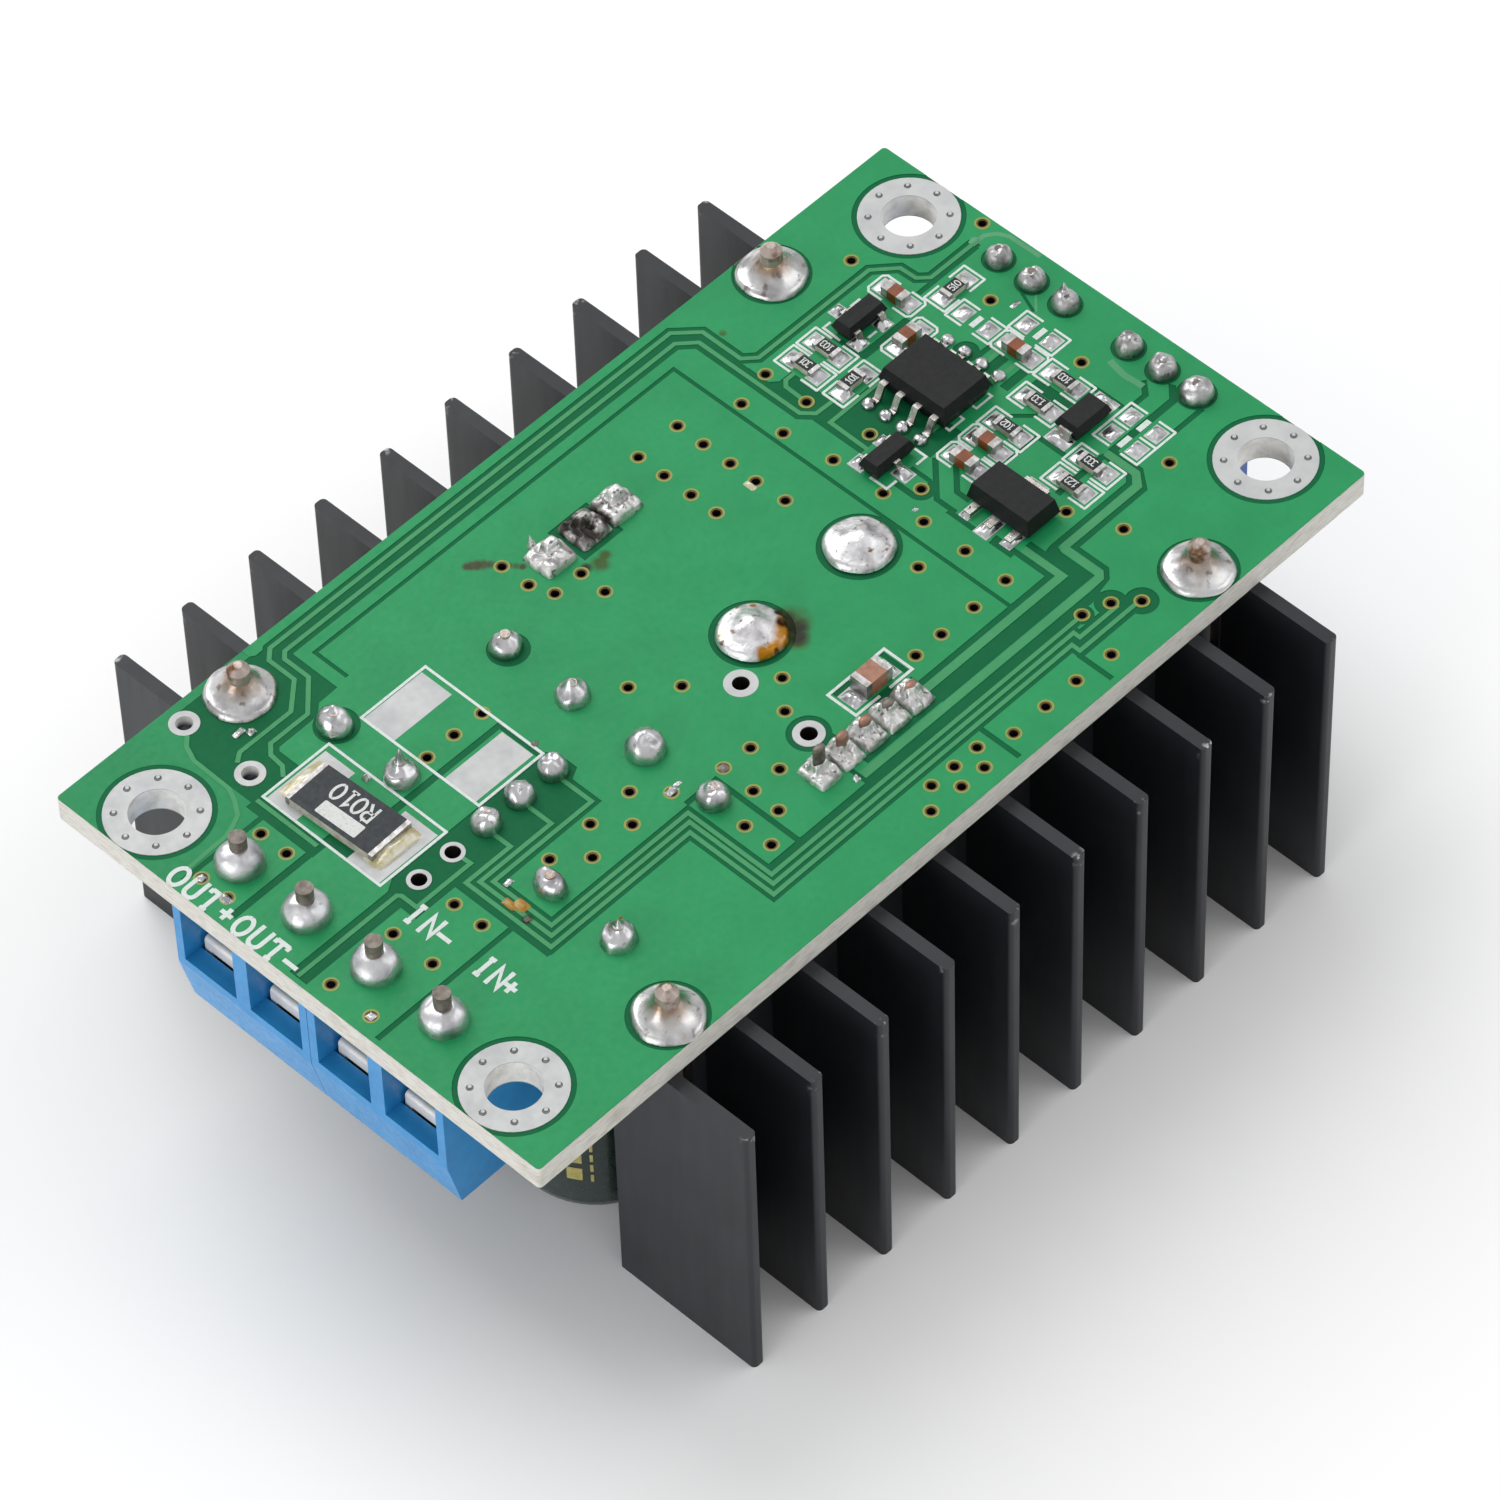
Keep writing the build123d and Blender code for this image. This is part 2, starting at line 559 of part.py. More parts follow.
# Trimmers
def trimmer_body(side):
    """A box on four feet, with a round seat for its screw in the far end."""
    half_x, half_y = TRIMMER_WIDTH / 2, TRIMMER_LENGTH / 2
    high = UNDER - TRIMMER_FOOT
    body = block((-half_x, half_x), (-half_y, half_y), (TRIMMER_TOP, high))
    body = chamfer(body.faces().sort_by(Axis.Z)[0].edges(), TRIMMER_CHAMFER)
    foot = TRIMMER_FOOT_SIZE / 2
    for x in (foot - half_x, half_x - foot):
        for y in (foot - half_y, half_y - foot):
            body += square_rod(x, y, TRIMMER_FOOT_SIZE, TRIMMER_FOOT_SIZE, high, UNDER)
    seat = TRIMMER_TOP + TRIMMER_SCREW_DEPTH + RUNNING_GAP
    body -= rod(0, TRIMMER_SCREW_Y, TRIMMER_SCREW / 2 + RUNNING_GAP, TRIMMER_TOP - OVERCUT, seat)
    return Pos(TRIMMER_X, side * TRIMMER_Y, 0) * body


def trimmer_screw(side):
    low, high = TRIMMER_TOP - TRIMMER_SCREW_OUT, TRIMMER_TOP + TRIMMER_SCREW_DEPTH
    screw = rod(0, TRIMMER_SCREW_Y, TRIMMER_SCREW / 2, low, high)
    screw -= Pos(0, TRIMMER_SCREW_Y, low) * Box(TRIMMER_SCREW * 2, TRIMMER_SLOT, TRIMMER_SLOT * 2)
    return Pos(TRIMMER_X, side * TRIMMER_Y, 0) * screw


def trimmer_pin(x, y):
    return rod(x, y, TRIMMER_PIN / 2, UNDER - TRIMMER_FOOT, FINE_LEAD_TIP)


# Screw terminals
def terminal_housing(side):
    """A moulded block of two cells, open at the front and at the board."""
    front, back, lean = TERMINAL_FRONT, TERMINAL_BACK, TERMINAL_LEAN
    outline = Polyline(
        (front, 0, UNDER), (front, 0, UNDER - TERMINAL_KNEE), (front + lean, 0, TERMINAL_TOP),
        (back - TERMINAL_BACK_CHAMFER, 0, TERMINAL_TOP), (back, 0, TERMINAL_TOP + TERMINAL_BACK_CHAMFER),
        (back, 0, UNDER), close=True,
    )
    body = extrude(make_face(outline), TERMINAL_BLOCK_WIDTH / 2, both=True)
    pocket_x = (CLAMP_X - CLAMP_DEPTH / 2 - CLAMP_SIDE_GAP, back - CELL_BACK_WALL)
    well = TERMINAL_SCREW_HEAD / 2 + RUNNING_GAP
    neck = TERMINAL_SCREW / 2 + CLAMP_SIDE_GAP
    head_z = TERMINAL_TOP + TERMINAL_SCREW_HEAD_HEIGHT + 2 * RUNNING_GAP
    for centre in row(2, TERMINAL_PITCH):
        cell_y = (centre - CELL_WIDTH / 2, centre + CELL_WIDTH / 2)
        body -= block((front - OVERCUT, back - CELL_BACK_WALL), cell_y, (SILL_Z, UNDER + OVERCUT))
        body -= block(pocket_x, cell_y, (CEILING_Z, SILL_Z))
        body -= rod(CLAMP_X, centre, neck, TERMINAL_TOP - OVERCUT, SILL_Z)
        body -= rod(CLAMP_X, centre, well, TERMINAL_TOP - OVERCUT, head_z)
    return Pos(0, side * BLOCK_Y, 0) * body


def clamp_heights():
    """The clamp's bar, inner space and threaded plate at rest, from the board downwards."""
    bar_high = SILL_Z + CLAMP_BAR
    bar_low = SILL_Z
    plate_high = bar_low - CONTACT_THICKNESS - CLAMP_TRAVEL - 3 * RUNNING_GAP
    return bar_high, bar_low, plate_high, plate_high - CLAMP_PLATE


def terminal_clamp(y):
    """A cage round the contact, drawn along Z by the screw in its threaded plate."""
    bar_high, bar_low, plate_high, plate_low = clamp_heights()
    x = (CLAMP_X - CLAMP_DEPTH / 2, CLAMP_X + CLAMP_DEPTH / 2)
    half = CLAMP_WIDTH / 2
    cage = block(x, (y - half, y + half), (plate_low, bar_high))
    cage = fillet(cage.edges().filter_by(Axis.Y).group_by(Axis.Z)[-1], CLAMP_BAR / 3)
    inner_y = (y - half + CLAMP_SIDE, y + half - CLAMP_SIDE)
    cage -= block((x[0] - OVERCUT, x[1] + OVERCUT), inner_y, (plate_high, bar_low))
    bore = TERMINAL_SCREW / 2 + RUNNING_GAP
    return cage - rod(CLAMP_X, y, bore, plate_low - OVERCUT, plate_high + RUNNING_GAP)


def terminal_screw(y):
    bar_low = clamp_heights()[1]
    head_low = TERMINAL_TOP + RUNNING_GAP
    head_high = head_low + TERMINAL_SCREW_HEAD_HEIGHT
    tip = bar_low - CONTACT_THICKNESS - 3 * RUNNING_GAP
    screw = rod(CLAMP_X, y, TERMINAL_SCREW_HEAD / 2, head_low, head_high)
    screw += rod(CLAMP_X, y, TERMINAL_SCREW / 2, head_high, tip)
    slot = Box(TERMINAL_SCREW_HEAD * 2, TERMINAL_SCREW_SLOT, TERMINAL_SCREW_SLOT_DEPTH * 2)
    return screw - Pos(CLAMP_X, y, head_low) * slot


def terminal_contact(y):
    """A strip through the clamp, up behind it, forward under the board and out as a pin."""
    bar_low = clamp_heights()[1]
    strip_y = (y - CONTACT_WIDTH / 2, y + CONTACT_WIDTH / 2)
    strip_high = bar_low - RUNNING_GAP
    foot_high = UNDER - CONTACT_FOOT_GAP
    back = TERMINAL_BACK - CELL_BACK_WALL
    start = CLAMP_X - CLAMP_DEPTH / 2 + CLAMP_SIDE_GAP
    strip = block((start, back), strip_y, (strip_high - CONTACT_THICKNESS, strip_high))
    riser = block((back - CONTACT_THICKNESS, back), strip_y, (strip_high, foot_high))
    pin = TERMINAL_PIN / 2
    foot = block((CLAMP_X - pin, back), strip_y, (foot_high - CONTACT_THICKNESS, foot_high))
    return strip + riser + foot + rod(CLAMP_X, y, pin, foot_high, TERMINAL_TIP)


# Indicator lamp
def lamp_lens():
    top = UNDER - LAMP_STANDOFF
    radius = LAMP_DIAMETER / 2
    lens = rod(0, 0, LAMP_FLANGE / 2, top - LAMP_FLANGE_HEIGHT, top)
    lens += rod(0, 0, radius, top - LAMP_HEIGHT + radius, top)
    lens += Pos(0, 0, top - LAMP_HEIGHT + radius) * Sphere(radius)
    return Pos(LAMP_X, LAMP_Y, 0) * lens


def lamp_lead(x, y):
    return square_rod(x, y, LAMP_LEAD, LAMP_LEAD, UNDER - LAMP_STANDOFF, FINE_LEAD_TIP)


# Soldered joints
def round_joint(x, y, size, lead):
    """A rounded cone of solder on the board, bored for its lead."""
    radius, height = size
    swell = radius * JOINT_SWELL
    outline = [(0, 0), (radius, 0), (radius - swell / 3, height * 0.3), (radius * 0.6, height * 0.75),
               (lead + JOINT_NECK, height), (0, height)]
    return Pos(x, y, 0) * turned(outline) - rod(x, y, lead, -OVERCUT, height + OVERCUT)


def round_joints(places, size, lead):
    return group(round_joint(x, y, size, lead) for x, y in places)


def square_joint(x, y):
    radius, height = JOINT_LAMP
    body = round_joint(x, y, JOINT_LAMP, LAMP_LEAD / 2)
    return body - square_rod(x, y, LAMP_LEAD, LAMP_LEAD, -OVERCUT, height + OVERCUT)


def power_joint(x, y, pitch):
    """A long hipped mound over one flat lead."""
    width = min(pitch - POWER_JOINT_MARGIN, POWER_JOINT_LENGTH)
    base = Rectangle(width, POWER_JOINT_LENGTH)
    top = Pos(0, 0, POWER_JOINT_HEIGHT) * Rectangle(width - 2 * POWER_JOINT_TAPER, POWER_JOINT_LENGTH * 0.55)
    mound = Pos(x, y, 0) * loft([base, top])
    return mound - square_rod(x, y, LEAD_WIDTH, LEAD_THICKNESS, -OVERCUT, POWER_JOINT_HEIGHT + OVERCUT)


# Chip parts
def chip_body(length, width, height, end):
    return block((end - length / 2, length / 2 - end), (-width / 2, width / 2), (0, height))


def chip_ends(length, width, height, end):
    half = length / 2
    spans = ((-half, end - half), (half - end, half))
    return [block(span, (-width / 2, width / 2), (0, height)) for span in spans]


def placed(shape, inset, y, along_x):
    return Pos(BOARD_END - inset, y, 0) * Rot(0, 0, 0 if along_x else 90) * shape


def chips(table, height, end):
    """The bodies and the end caps of one kind of chip part."""
    sizes = (CHIP_LENGTH, CHIP_WIDTH, height, end)
    bodies = [placed(chip_body(*sizes), *place) for place in table]
    ends = [placed(cap, *place) for place in table for cap in chip_ends(*sizes)]
    return group(bodies), group(ends)


def shunt_place():
    return Pos(SHUNT_X, SHUNT_Y, 0) * Rot(0, 0, 90 + SHUNT_TURN)


# Moulded parts with bent leads
def moulded(length, width, height, parting=MOULD_PARTING):
    """A moulded body that narrows above and below its parting line, clear of the board."""
    low, middle = FOOT_THICKNESS / 2, height * parting
    narrow = 2 * MOULD_DRAFT
    waist = Pos(0, 0, middle) * Rectangle(length, width)
    upper = loft([waist, Pos(0, 0, height) * Rectangle(length - narrow, width - narrow)])
    lower = loft([Pos(0, 0, low) * Rectangle(length - narrow, width - narrow), waist])
    return upper + lower


def bent_lead(reach, root, height, width):
    """A lead that leaves the body at mid height and steps down to a foot, along +Y."""
    thick = FOOT_THICKNESS
    knee = root + (reach - root) * 0.35
    ankle = root + (reach - root) * 0.6
    middle = height * MOULD_PARTING - thick / 2
    outline = Polyline(
        (0, root, middle), (0, root, middle + thick), (0, knee, middle + thick), (0, ankle + thick / 2, thick),
        (0, reach, thick), (0, reach, 0), (0, ankle - thick / 2, 0), (0, knee - thick / 2, middle), close=True,
    )
    return extrude(make_face(outline), width / 2, both=True)


def lead_row(offsets, reach, root, height, width):
    return [Pos(offset, 0, 0) * bent_lead(reach, root, height, width) for offset in offsets]


def drafted_root(width):
    """Where a lead meets the body at the parting line."""
    return width / 2 - MOULD_DRAFT / 2


def amplifier():
    place = Pos(BOARD_END - AMPLIFIER_INSET, AMPLIFIER_Y, 0) * Rot(0, 0, 90)
    body = moulded(AMPLIFIER_LENGTH, AMPLIFIER_WIDTH, AMPLIFIER_HEIGHT)
    sizes = (AMPLIFIER_SPAN / 2, drafted_root(AMPLIFIER_WIDTH), AMPLIFIER_HEIGHT, AMPLIFIER_LEAD)
    leads = lead_row(row(4, AMPLIFIER_PITCH), *sizes)
    leads += [Rot(0, 0, 180) * lead for lead in leads]
    return place * body, group(place * (lead - body) for lead in leads)


def small_parts():
    bodies, leads = [], []
    sizes = (SMALL_SPAN / 2, drafted_root(SMALL_WIDTH), SMALL_HEIGHT, SMALL_LEAD)
    for inset, y, side in SMALL_PARTS:
        place = Pos(BOARD_END - inset, y, 0) * Rot(0, 0, 0 if side > 0 else 180)
        body = moulded(SMALL_LENGTH, SMALL_WIDTH, SMALL_HEIGHT)
        single = lead_row([0], *sizes)
        double = [Rot(0, 0, 180) * lead for lead in lead_row(row(2, SMALL_PITCH), *sizes)]
        bodies.append(place * body)
        leads += [place * (lead - body) for lead in single + double]
    return group(bodies), group(leads)


def signal_diode():
    place = Pos(BOARD_END - SIGNAL_INSET, SIGNAL_Y, 0) * Rot(0, 0, 90)
    body = moulded(SIGNAL_WIDTH, SIGNAL_LENGTH, SIGNAL_HEIGHT)
    lead = bent_lead(SIGNAL_SPAN / 2, drafted_root(SIGNAL_LENGTH), SIGNAL_HEIGHT, SIGNAL_LEAD)
    leads = [lead, Rot(0, 0, 180) * lead]
    return place * body, group(place * (one - body) for one in leads)


def supply_chip():
    """A flat-lead package: three leads on one side and a wide tab on the other."""
    body = moulded(SUPPLY_LENGTH, SUPPLY_WIDTH, SUPPLY_HEIGHT, SUPPLY_PARTING)
    half = SUPPLY_WIDTH / 2 - MOULD_DRAFT
    thick = 2 * FOOT_THICKNESS
    reach = half + SUPPLY_LEAD_OUT
    leads = [
        block((y - SUPPLY_LEAD / 2, y + SUPPLY_LEAD / 2), (half, reach), (0, thick))
        for y in row(3, SUPPLY_PITCH)
    ]
    leads.append(block((-SUPPLY_TAB / 2, SUPPLY_TAB / 2), (-half - SUPPLY_TAB_OUT, -half), (0, thick)))
    place = Pos(BOARD_END - SUPPLY_INSET, SUPPLY_Y, 0) * Rot(0, 0, 90)
    return place * body, group(place * (lead - body) for lead in leads)


# Every node by name
def power_nodes():
    regulator_places, diode_places = regulator_leads(), diode_leads()
    sinks, tabs, moulds = pair(heatsink), pair(package_tab), pair(package_mould)
    diode_pins = [package_lead(x, y, True) for x, y in diode_places]
    regulator_pins = [package_lead(x, y, False) for x, y in regulator_places]
    return {
        "heatsink_diode": sinks[0],
        "heatsink_regulator": sinks[1],
        "heatsink_pins": group(heatsink_pin(x, y) for x, y in sink_pins()),
        "diode_tab_and_leads": group([tabs[0]] + diode_pins),
        "diode_body": moulds[0],
        "regulator_tab_and_leads": group([tabs[1]] + regulator_pins),
        "regulator_body": moulds[1],
        "package_screws": group(pair(package_screw)),
        "thermal_pads": group(pair(thermal_pad)),
        "solder_diode": group(power_joint(x, y, DIODE_PITCH) for x, y in diode_places),
        "solder_regulator": group(power_joint(x, y, REGULATOR_PITCH) for x, y in regulator_places),
    }


def passive_nodes():
    nodes = {name: capacitor_can(x, y) for name, (x, y) in CAN_PLACES.items()}
    nodes["capacitor_bungs"] = group(capacitor_bung(x, y) for x, y in CAN_PLACES.values())
    nodes["capacitor_leads"] = group(capacitor_lead(x, y) for x, y in can_leads())
    nodes["inductor_core"] = inductor_core()
    nodes["inductor_winding"] = inductor_winding()
    nodes["indicator_lens"] = lamp_lens()
    nodes["indicator_leads"] = group(lamp_lead(x, y) for x, y in lamp_leads())
    for name, side in (("voltage", 1), ("current", -1)):
        nodes[f"trimmer_body_{name}"] = trimmer_body(side)
        nodes[f"trimmer_screw_{name}"] = trimmer_screw(side)
    nodes["trimmer_pins"] = group(trimmer_pin(x, y) for x, y in trimmer_pins())
    return nodes


def terminal_nodes():
    nodes = {"terminal_housing_output": terminal_housing(1), "terminal_housing_input": terminal_housing(-1)}
    for number, y in enumerate(CELL_YS, 1):
        nodes[f"terminal_screw_{number}"] = terminal_screw(y)
        nodes[f"terminal_clamp_{number}"] = terminal_clamp(y)
    nodes["terminal_contacts"] = group(terminal_contact(y) for y in CELL_YS)
    return nodes


def chip_nodes():
    resistor_bodies, resistor_ends = chips(CHIP_RESISTORS, RESISTOR_HEIGHT, RESISTOR_END)
    capacitor_bodies, capacitor_ends = chips(CHIP_CAPACITORS, CAPACITOR_HEIGHT, CAPACITOR_END)
    shunt = (SHUNT_LENGTH, SHUNT_WIDTH, SHUNT_HEIGHT, SHUNT_END)
    filter_chip = (FILTER_LENGTH, FILTER_WIDTH, FILTER_HEIGHT, FILTER_END)
    filter_place = Pos(FILTER_X, FILTER_Y, 0)
    amplifier_body, amplifier_leads = amplifier()
    small_bodies, small_leads = small_parts()
    signal_body, signal_leads = signal_diode()
    supply_body, supply_leads = supply_chip()
    return {
        "chip_resistor_bodies": resistor_bodies,
        "chip_resistor_ends": resistor_ends,
        "chip_capacitor_bodies": capacitor_bodies,
        "chip_capacitor_ends": capacitor_ends,
        "shunt_resistor_body": shunt_place() * chip_body(*shunt),
        "shunt_resistor_ends": group(shunt_place() * end for end in chip_ends(*shunt)),
        "filter_capacitor_body": filter_place * chip_body(*filter_chip),
        "filter_capacitor_ends": group(filter_place * end for end in chip_ends(*filter_chip)),
        "amplifier_body": amplifier_body,
        "amplifier_leads": amplifier_leads,
        "small_transistor_bodies": small_bodies,
        "small_transistor_leads": small_leads,
        "signal_diode_body": signal_body,
        "signal_diode_leads": signal_leads,
        "supply_chip_body": supply_body,
        "supply_chip_leads": supply_leads,
    }


def solder_nodes():
    return {
        "solder_terminals": round_joints(terminal_pins(), JOINT_TERMINAL, TERMINAL_PIN / 2),
        "solder_heatsinks": round_joints(sink_pins(), JOINT_SINK, SINK_PIN_RADIUS),
        "solder_inductor": round_joints(inductor_leads(), JOINT_INDUCTOR, WIRE_RADIUS),
        "solder_capacitors": round_joints(can_leads(), JOINT_CAN, CAN_LEAD / 2),
        "solder_trimmers": round_joints(trimmer_pins(), JOINT_TRIMMER, TRIMMER_PIN / 2),
        "solder_indicator": group(square_joint(x, y) for x, y in lamp_leads()),
    }


nodes = {"circuit_board": circuit_board()}
nodes |= power_nodes() | passive_nodes() | terminal_nodes() | chip_nodes() | solder_nodes()
os.makedirs("parts", exist_ok=True)
for name, shape in nodes.items():
    export_step(shape, f"parts/{name}.step")
print(len(nodes), "nodes")
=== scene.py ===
import math

import bpy
from mathutils import Matrix, Vector, noise
from mathutils.geometry import delaunay_2d_cdt


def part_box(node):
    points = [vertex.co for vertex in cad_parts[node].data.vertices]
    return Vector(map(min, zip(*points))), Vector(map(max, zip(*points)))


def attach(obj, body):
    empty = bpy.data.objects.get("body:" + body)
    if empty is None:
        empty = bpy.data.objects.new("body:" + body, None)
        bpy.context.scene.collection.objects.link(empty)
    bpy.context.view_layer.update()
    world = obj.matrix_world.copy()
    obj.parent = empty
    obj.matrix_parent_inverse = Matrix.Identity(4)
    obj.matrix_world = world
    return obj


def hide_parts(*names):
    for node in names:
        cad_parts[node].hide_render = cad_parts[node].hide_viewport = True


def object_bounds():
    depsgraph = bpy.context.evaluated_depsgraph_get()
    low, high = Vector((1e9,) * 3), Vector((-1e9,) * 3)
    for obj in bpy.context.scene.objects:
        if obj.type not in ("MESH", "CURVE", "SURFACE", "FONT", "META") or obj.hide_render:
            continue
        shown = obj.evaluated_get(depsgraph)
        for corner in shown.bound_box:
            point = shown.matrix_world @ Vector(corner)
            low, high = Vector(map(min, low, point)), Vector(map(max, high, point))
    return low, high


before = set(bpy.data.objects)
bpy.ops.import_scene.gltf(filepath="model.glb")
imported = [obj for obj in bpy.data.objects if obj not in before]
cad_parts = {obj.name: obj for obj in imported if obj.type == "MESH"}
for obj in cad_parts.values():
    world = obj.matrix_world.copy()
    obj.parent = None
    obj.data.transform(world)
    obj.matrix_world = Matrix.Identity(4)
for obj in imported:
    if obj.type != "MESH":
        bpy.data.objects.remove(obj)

MM = 0.001
BODY = "module"
cad_low, cad_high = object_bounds()
board_low, board_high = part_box("circuit_board")
UNDER = board_low.z / MM

# Levels of the layers above the board's bare faces, in millimetres
LEVELS = {"gap": 0.014, "wide": 0.03, "pour": 0.05, "trace": 0.05, "haze": 0.054, "groove": 0.02,
          "rim": 0.03, "ring": 0.056, "pad": 0.06, "silk": 0.072}
# The rows of the drawing of the solder side lie a little closer on the real board
ROW = 0.9865


# Camera, at the photograph's angle
def make_camera():
    camera = bpy.data.objects.new("camera", bpy.data.cameras.new("camera"))
    bpy.context.scene.collection.objects.link(camera)
    camera.data.lens = 200
    camera.data.sensor_width = 36
    camera.data.sensor_fit = "HORIZONTAL"
    camera.data.clip_start = 0.02
    camera.data.clip_end = 20
    turn = Matrix((
        (0.691662, 0.569897, -0.443645),
        (-0.721873, 0.526430, -0.449190),
        (-0.022444, 0.630942, 0.775505),
    ))
    camera.matrix_world = Matrix.Translation((-0.2037683, -0.2083178, 0.3478012)) @ turn.to_4x4()
    bpy.context.scene.camera = camera


# Materials
def rgb(red, green, blue):
    """A colour from 0 to 255 a channel, in the shader's linear terms."""
    def linear(value):
        value /= 255
        return value / 12.92 if value <= 0.04045 else ((value + 0.055) / 1.055) ** 2.4
    return linear(red), linear(green), linear(blue), 1.0


class Paint:
    """A material whose colour, roughness and bump come from noise in millimetres."""

    def __init__(self, name, colour, rough=0.5, metal=0.0, **sockets):
        self.material = bpy.data.materials.new(name)
        self.material.use_nodes = True
        self.tree = self.material.node_tree
        self.shader = self.tree.nodes["Principled BSDF"]
        for key, value in dict(sockets, Metallic=metal, Roughness=rough).items():
            self.shader.inputs[key.replace("_", " ")].default_value = value
        self.shader.inputs["Base Color"].default_value = colour
        self.colour = colour
        scale = self.node("ShaderNodeVectorMath", operation="SCALE")
        scale.inputs["Scale"].default_value = 1 / MM
        self.link(self.node("ShaderNodeTexCoord").outputs["Object"], scale.inputs[0])
        self.place = scale.outputs[0]
        self.tint = None
        self.bump = None

    def node(self, kind, **settings):
        made = self.tree.nodes.new(kind)
        for key, value in settings.items():
            setattr(made, key, value)
        return made

    def link(self, source, target):
        self.tree.links.new(source, target)

    def combine(self, operation, first, second):
        made = self.node("ShaderNodeMath", operation=operation, use_clamp=True)
        self.link(first, made.inputs[0])
        self.link(second, made.inputs[1])
        return made.outputs[0]

    def noise(self, scale, detail=3.0, stretch=(1, 1, 1)):
        """Noise of about 1 / scale millimetres."""
        turned = self.node("ShaderNodeVectorMath", operation="MULTIPLY")
        self.link(self.place, turned.inputs[0])
        turned.inputs[1].default_value = stretch
        made = self.node("ShaderNodeTexNoise")
        made.inputs["Scale"].default_value = scale
        made.inputs["Detail"].default_value = detail
        self.link(turned.outputs[0], made.inputs["Vector"])
        return made.outputs["Fac"]

    def ramp(self, source, low, high, start=0.0, end=1.0):
        made = self.node("ShaderNodeMapRange")
        self.link(source, made.inputs["Value"])
        for key, value in (("From Min", low), ("From Max", high), ("To Min", start), ("To Max", end)):
            made.inputs[key].default_value = value
        return made.outputs["Result"]

    def part(self, vector, axis, absolute=False):
        """One coordinate of a vector, or its size."""
        parts = self.node("ShaderNodeSeparateXYZ")
        self.link(vector, parts.inputs[0])
        if not absolute:
            return parts.outputs[axis]
        made = self.node("ShaderNodeMath", operation="ABSOLUTE")
        self.link(parts.outputs[axis], made.inputs[0])
        return made.outputs[0]

    def facing(self, axis, low, high):
        """A share that grows as the surface turns towards an axis."""
        normal = self.node("ShaderNodeNewGeometry").outputs["Normal"]
        return self.ramp(self.part(normal, axis), low, high)

    def mix(self, share, other):
        """Mixes another colour in by a share from 0 to 1."""
        made = self.node("ShaderNodeMix", data_type="RGBA")
        if self.tint is None:
            made.inputs["A"].default_value = self.colour
        else:
            self.link(self.tint, made.inputs["A"])
        made.inputs["B"].default_value = other
        self.link(share, made.inputs["Factor"])
        self.tint = made.outputs["Result"]
        self.link(self.tint, self.shader.inputs["Base Color"])
        return self

    def mottle(self, scale, other, low=0.4, high=0.7, most=1.0, **kind):
        """Mixes another colour in where the noise lies above a level."""
        return self.mix(self.ramp(self.noise(scale, **kind), low, high, 0.0, most), other)

    def rough(self, scale, start, end, low=0.35, high=0.65, **kind):
        """Roughness that drifts between two values."""
        source = self.ramp(self.noise(scale, **kind), low, high, start, end)
        self.link(source, self.shader.inputs["Roughness"])
        return self

    def relief(self, scale, depth, detail=3.0, stretch=(1, 1, 1)):
        """Bump of a depth in millimetres."""
        made = self.node("ShaderNodeBump")
        made.inputs["Strength"].default_value = 1.0
        made.inputs["Distance"].default_value = depth * MM
        self.link(self.noise(scale, detail, stretch), made.inputs["Height"])
        if self.bump is not None:
            self.link(self.bump, made.inputs["Normal"])
        self.bump = made.outputs["Normal"]
        self.link(self.bump, self.shader.inputs["Normal"])
        return self

    def near(self, spots, edge=0.6):
        """A share that is 1 at the nearest of some spots (x, y and radius), with ragged edges."""
        flat = self.node("ShaderNodeVectorMath", operation="MULTIPLY")
        self.link(self.place, flat.inputs[0])
        flat.inputs[1].default_value = (1, 1, 0)
        best = None
        for x, y, radius in spots:
            away = self.node("ShaderNodeVectorMath", operation="DISTANCE")
            self.link(flat.outputs[0], away.inputs[0])
            away.inputs[1].default_value = (x, y * ROW, 0)
            share = self.ramp(away.outputs["Value"], radius, radius * (1 - edge))
            best = share if best is None else self.combine("MAXIMUM", best, share)
        ragged = self.ramp(self.noise(1.1, detail=3.0), 0.35, 0.65, 0.7, 1.2)
        return self.combine("MULTIPLY", best, ragged)


# Burnt and dirty spots on the mask: x, y and radius
BURNS = [
    (3.05, -1.4, 0.6), (3.15, -2.1, 0.75), (3.05, -2.8, 0.9), (2.7, -3.4, 0.75), (-1.65, 8.7, 0.45),
    (-1.9, 8.6, 0.35), (-21.15, -6.3, 0.4),
]
STREAK = [
    (-6.0, 13.7, 0.36), (-5.8, 13.53, 0.44), (-5.55, 13.32, 0.48), (-5.3, 13.1, 0.46),
    (-5.05, 12.86, 0.38), (-4.8, 12.6, 0.28), (-4.55, 12.3, 0.26), (-4.35, 12.0, 0.28),
    (-4.15, 11.7, 0.3), (-3.95, 11.4, 0.3),
]
TARNISH = [
    (-0.9, 8.35, 0.7), (-0.3, 8.6, 0.5), (3.2, -2.4, 1.35), (2.5, -3.5, 0.9), (15.9, 15.3, 0.3),
]
MIDDLE_JOINT = [(0.3, 10.9, 1.75)]
# Amber and charred flux at the rim of an inductor joint
AMBER = [
    (0.3, -3.1, 0.5), (0.85, -3.35, 0.6), (1.4, -3.4, 0.75), (1.95, -3.15, 0.85), (2.45, -2.7, 0.75),
    (2.8, -2.1, 0.4), (2.3, -0.3, 0.24), (-0.4, -0.4, 0.15),
]
CHARRED = [(2.55, -2.3, 0.45), (1.0, -3.45, 0.25), (2.95, -1.6, 0.3)]


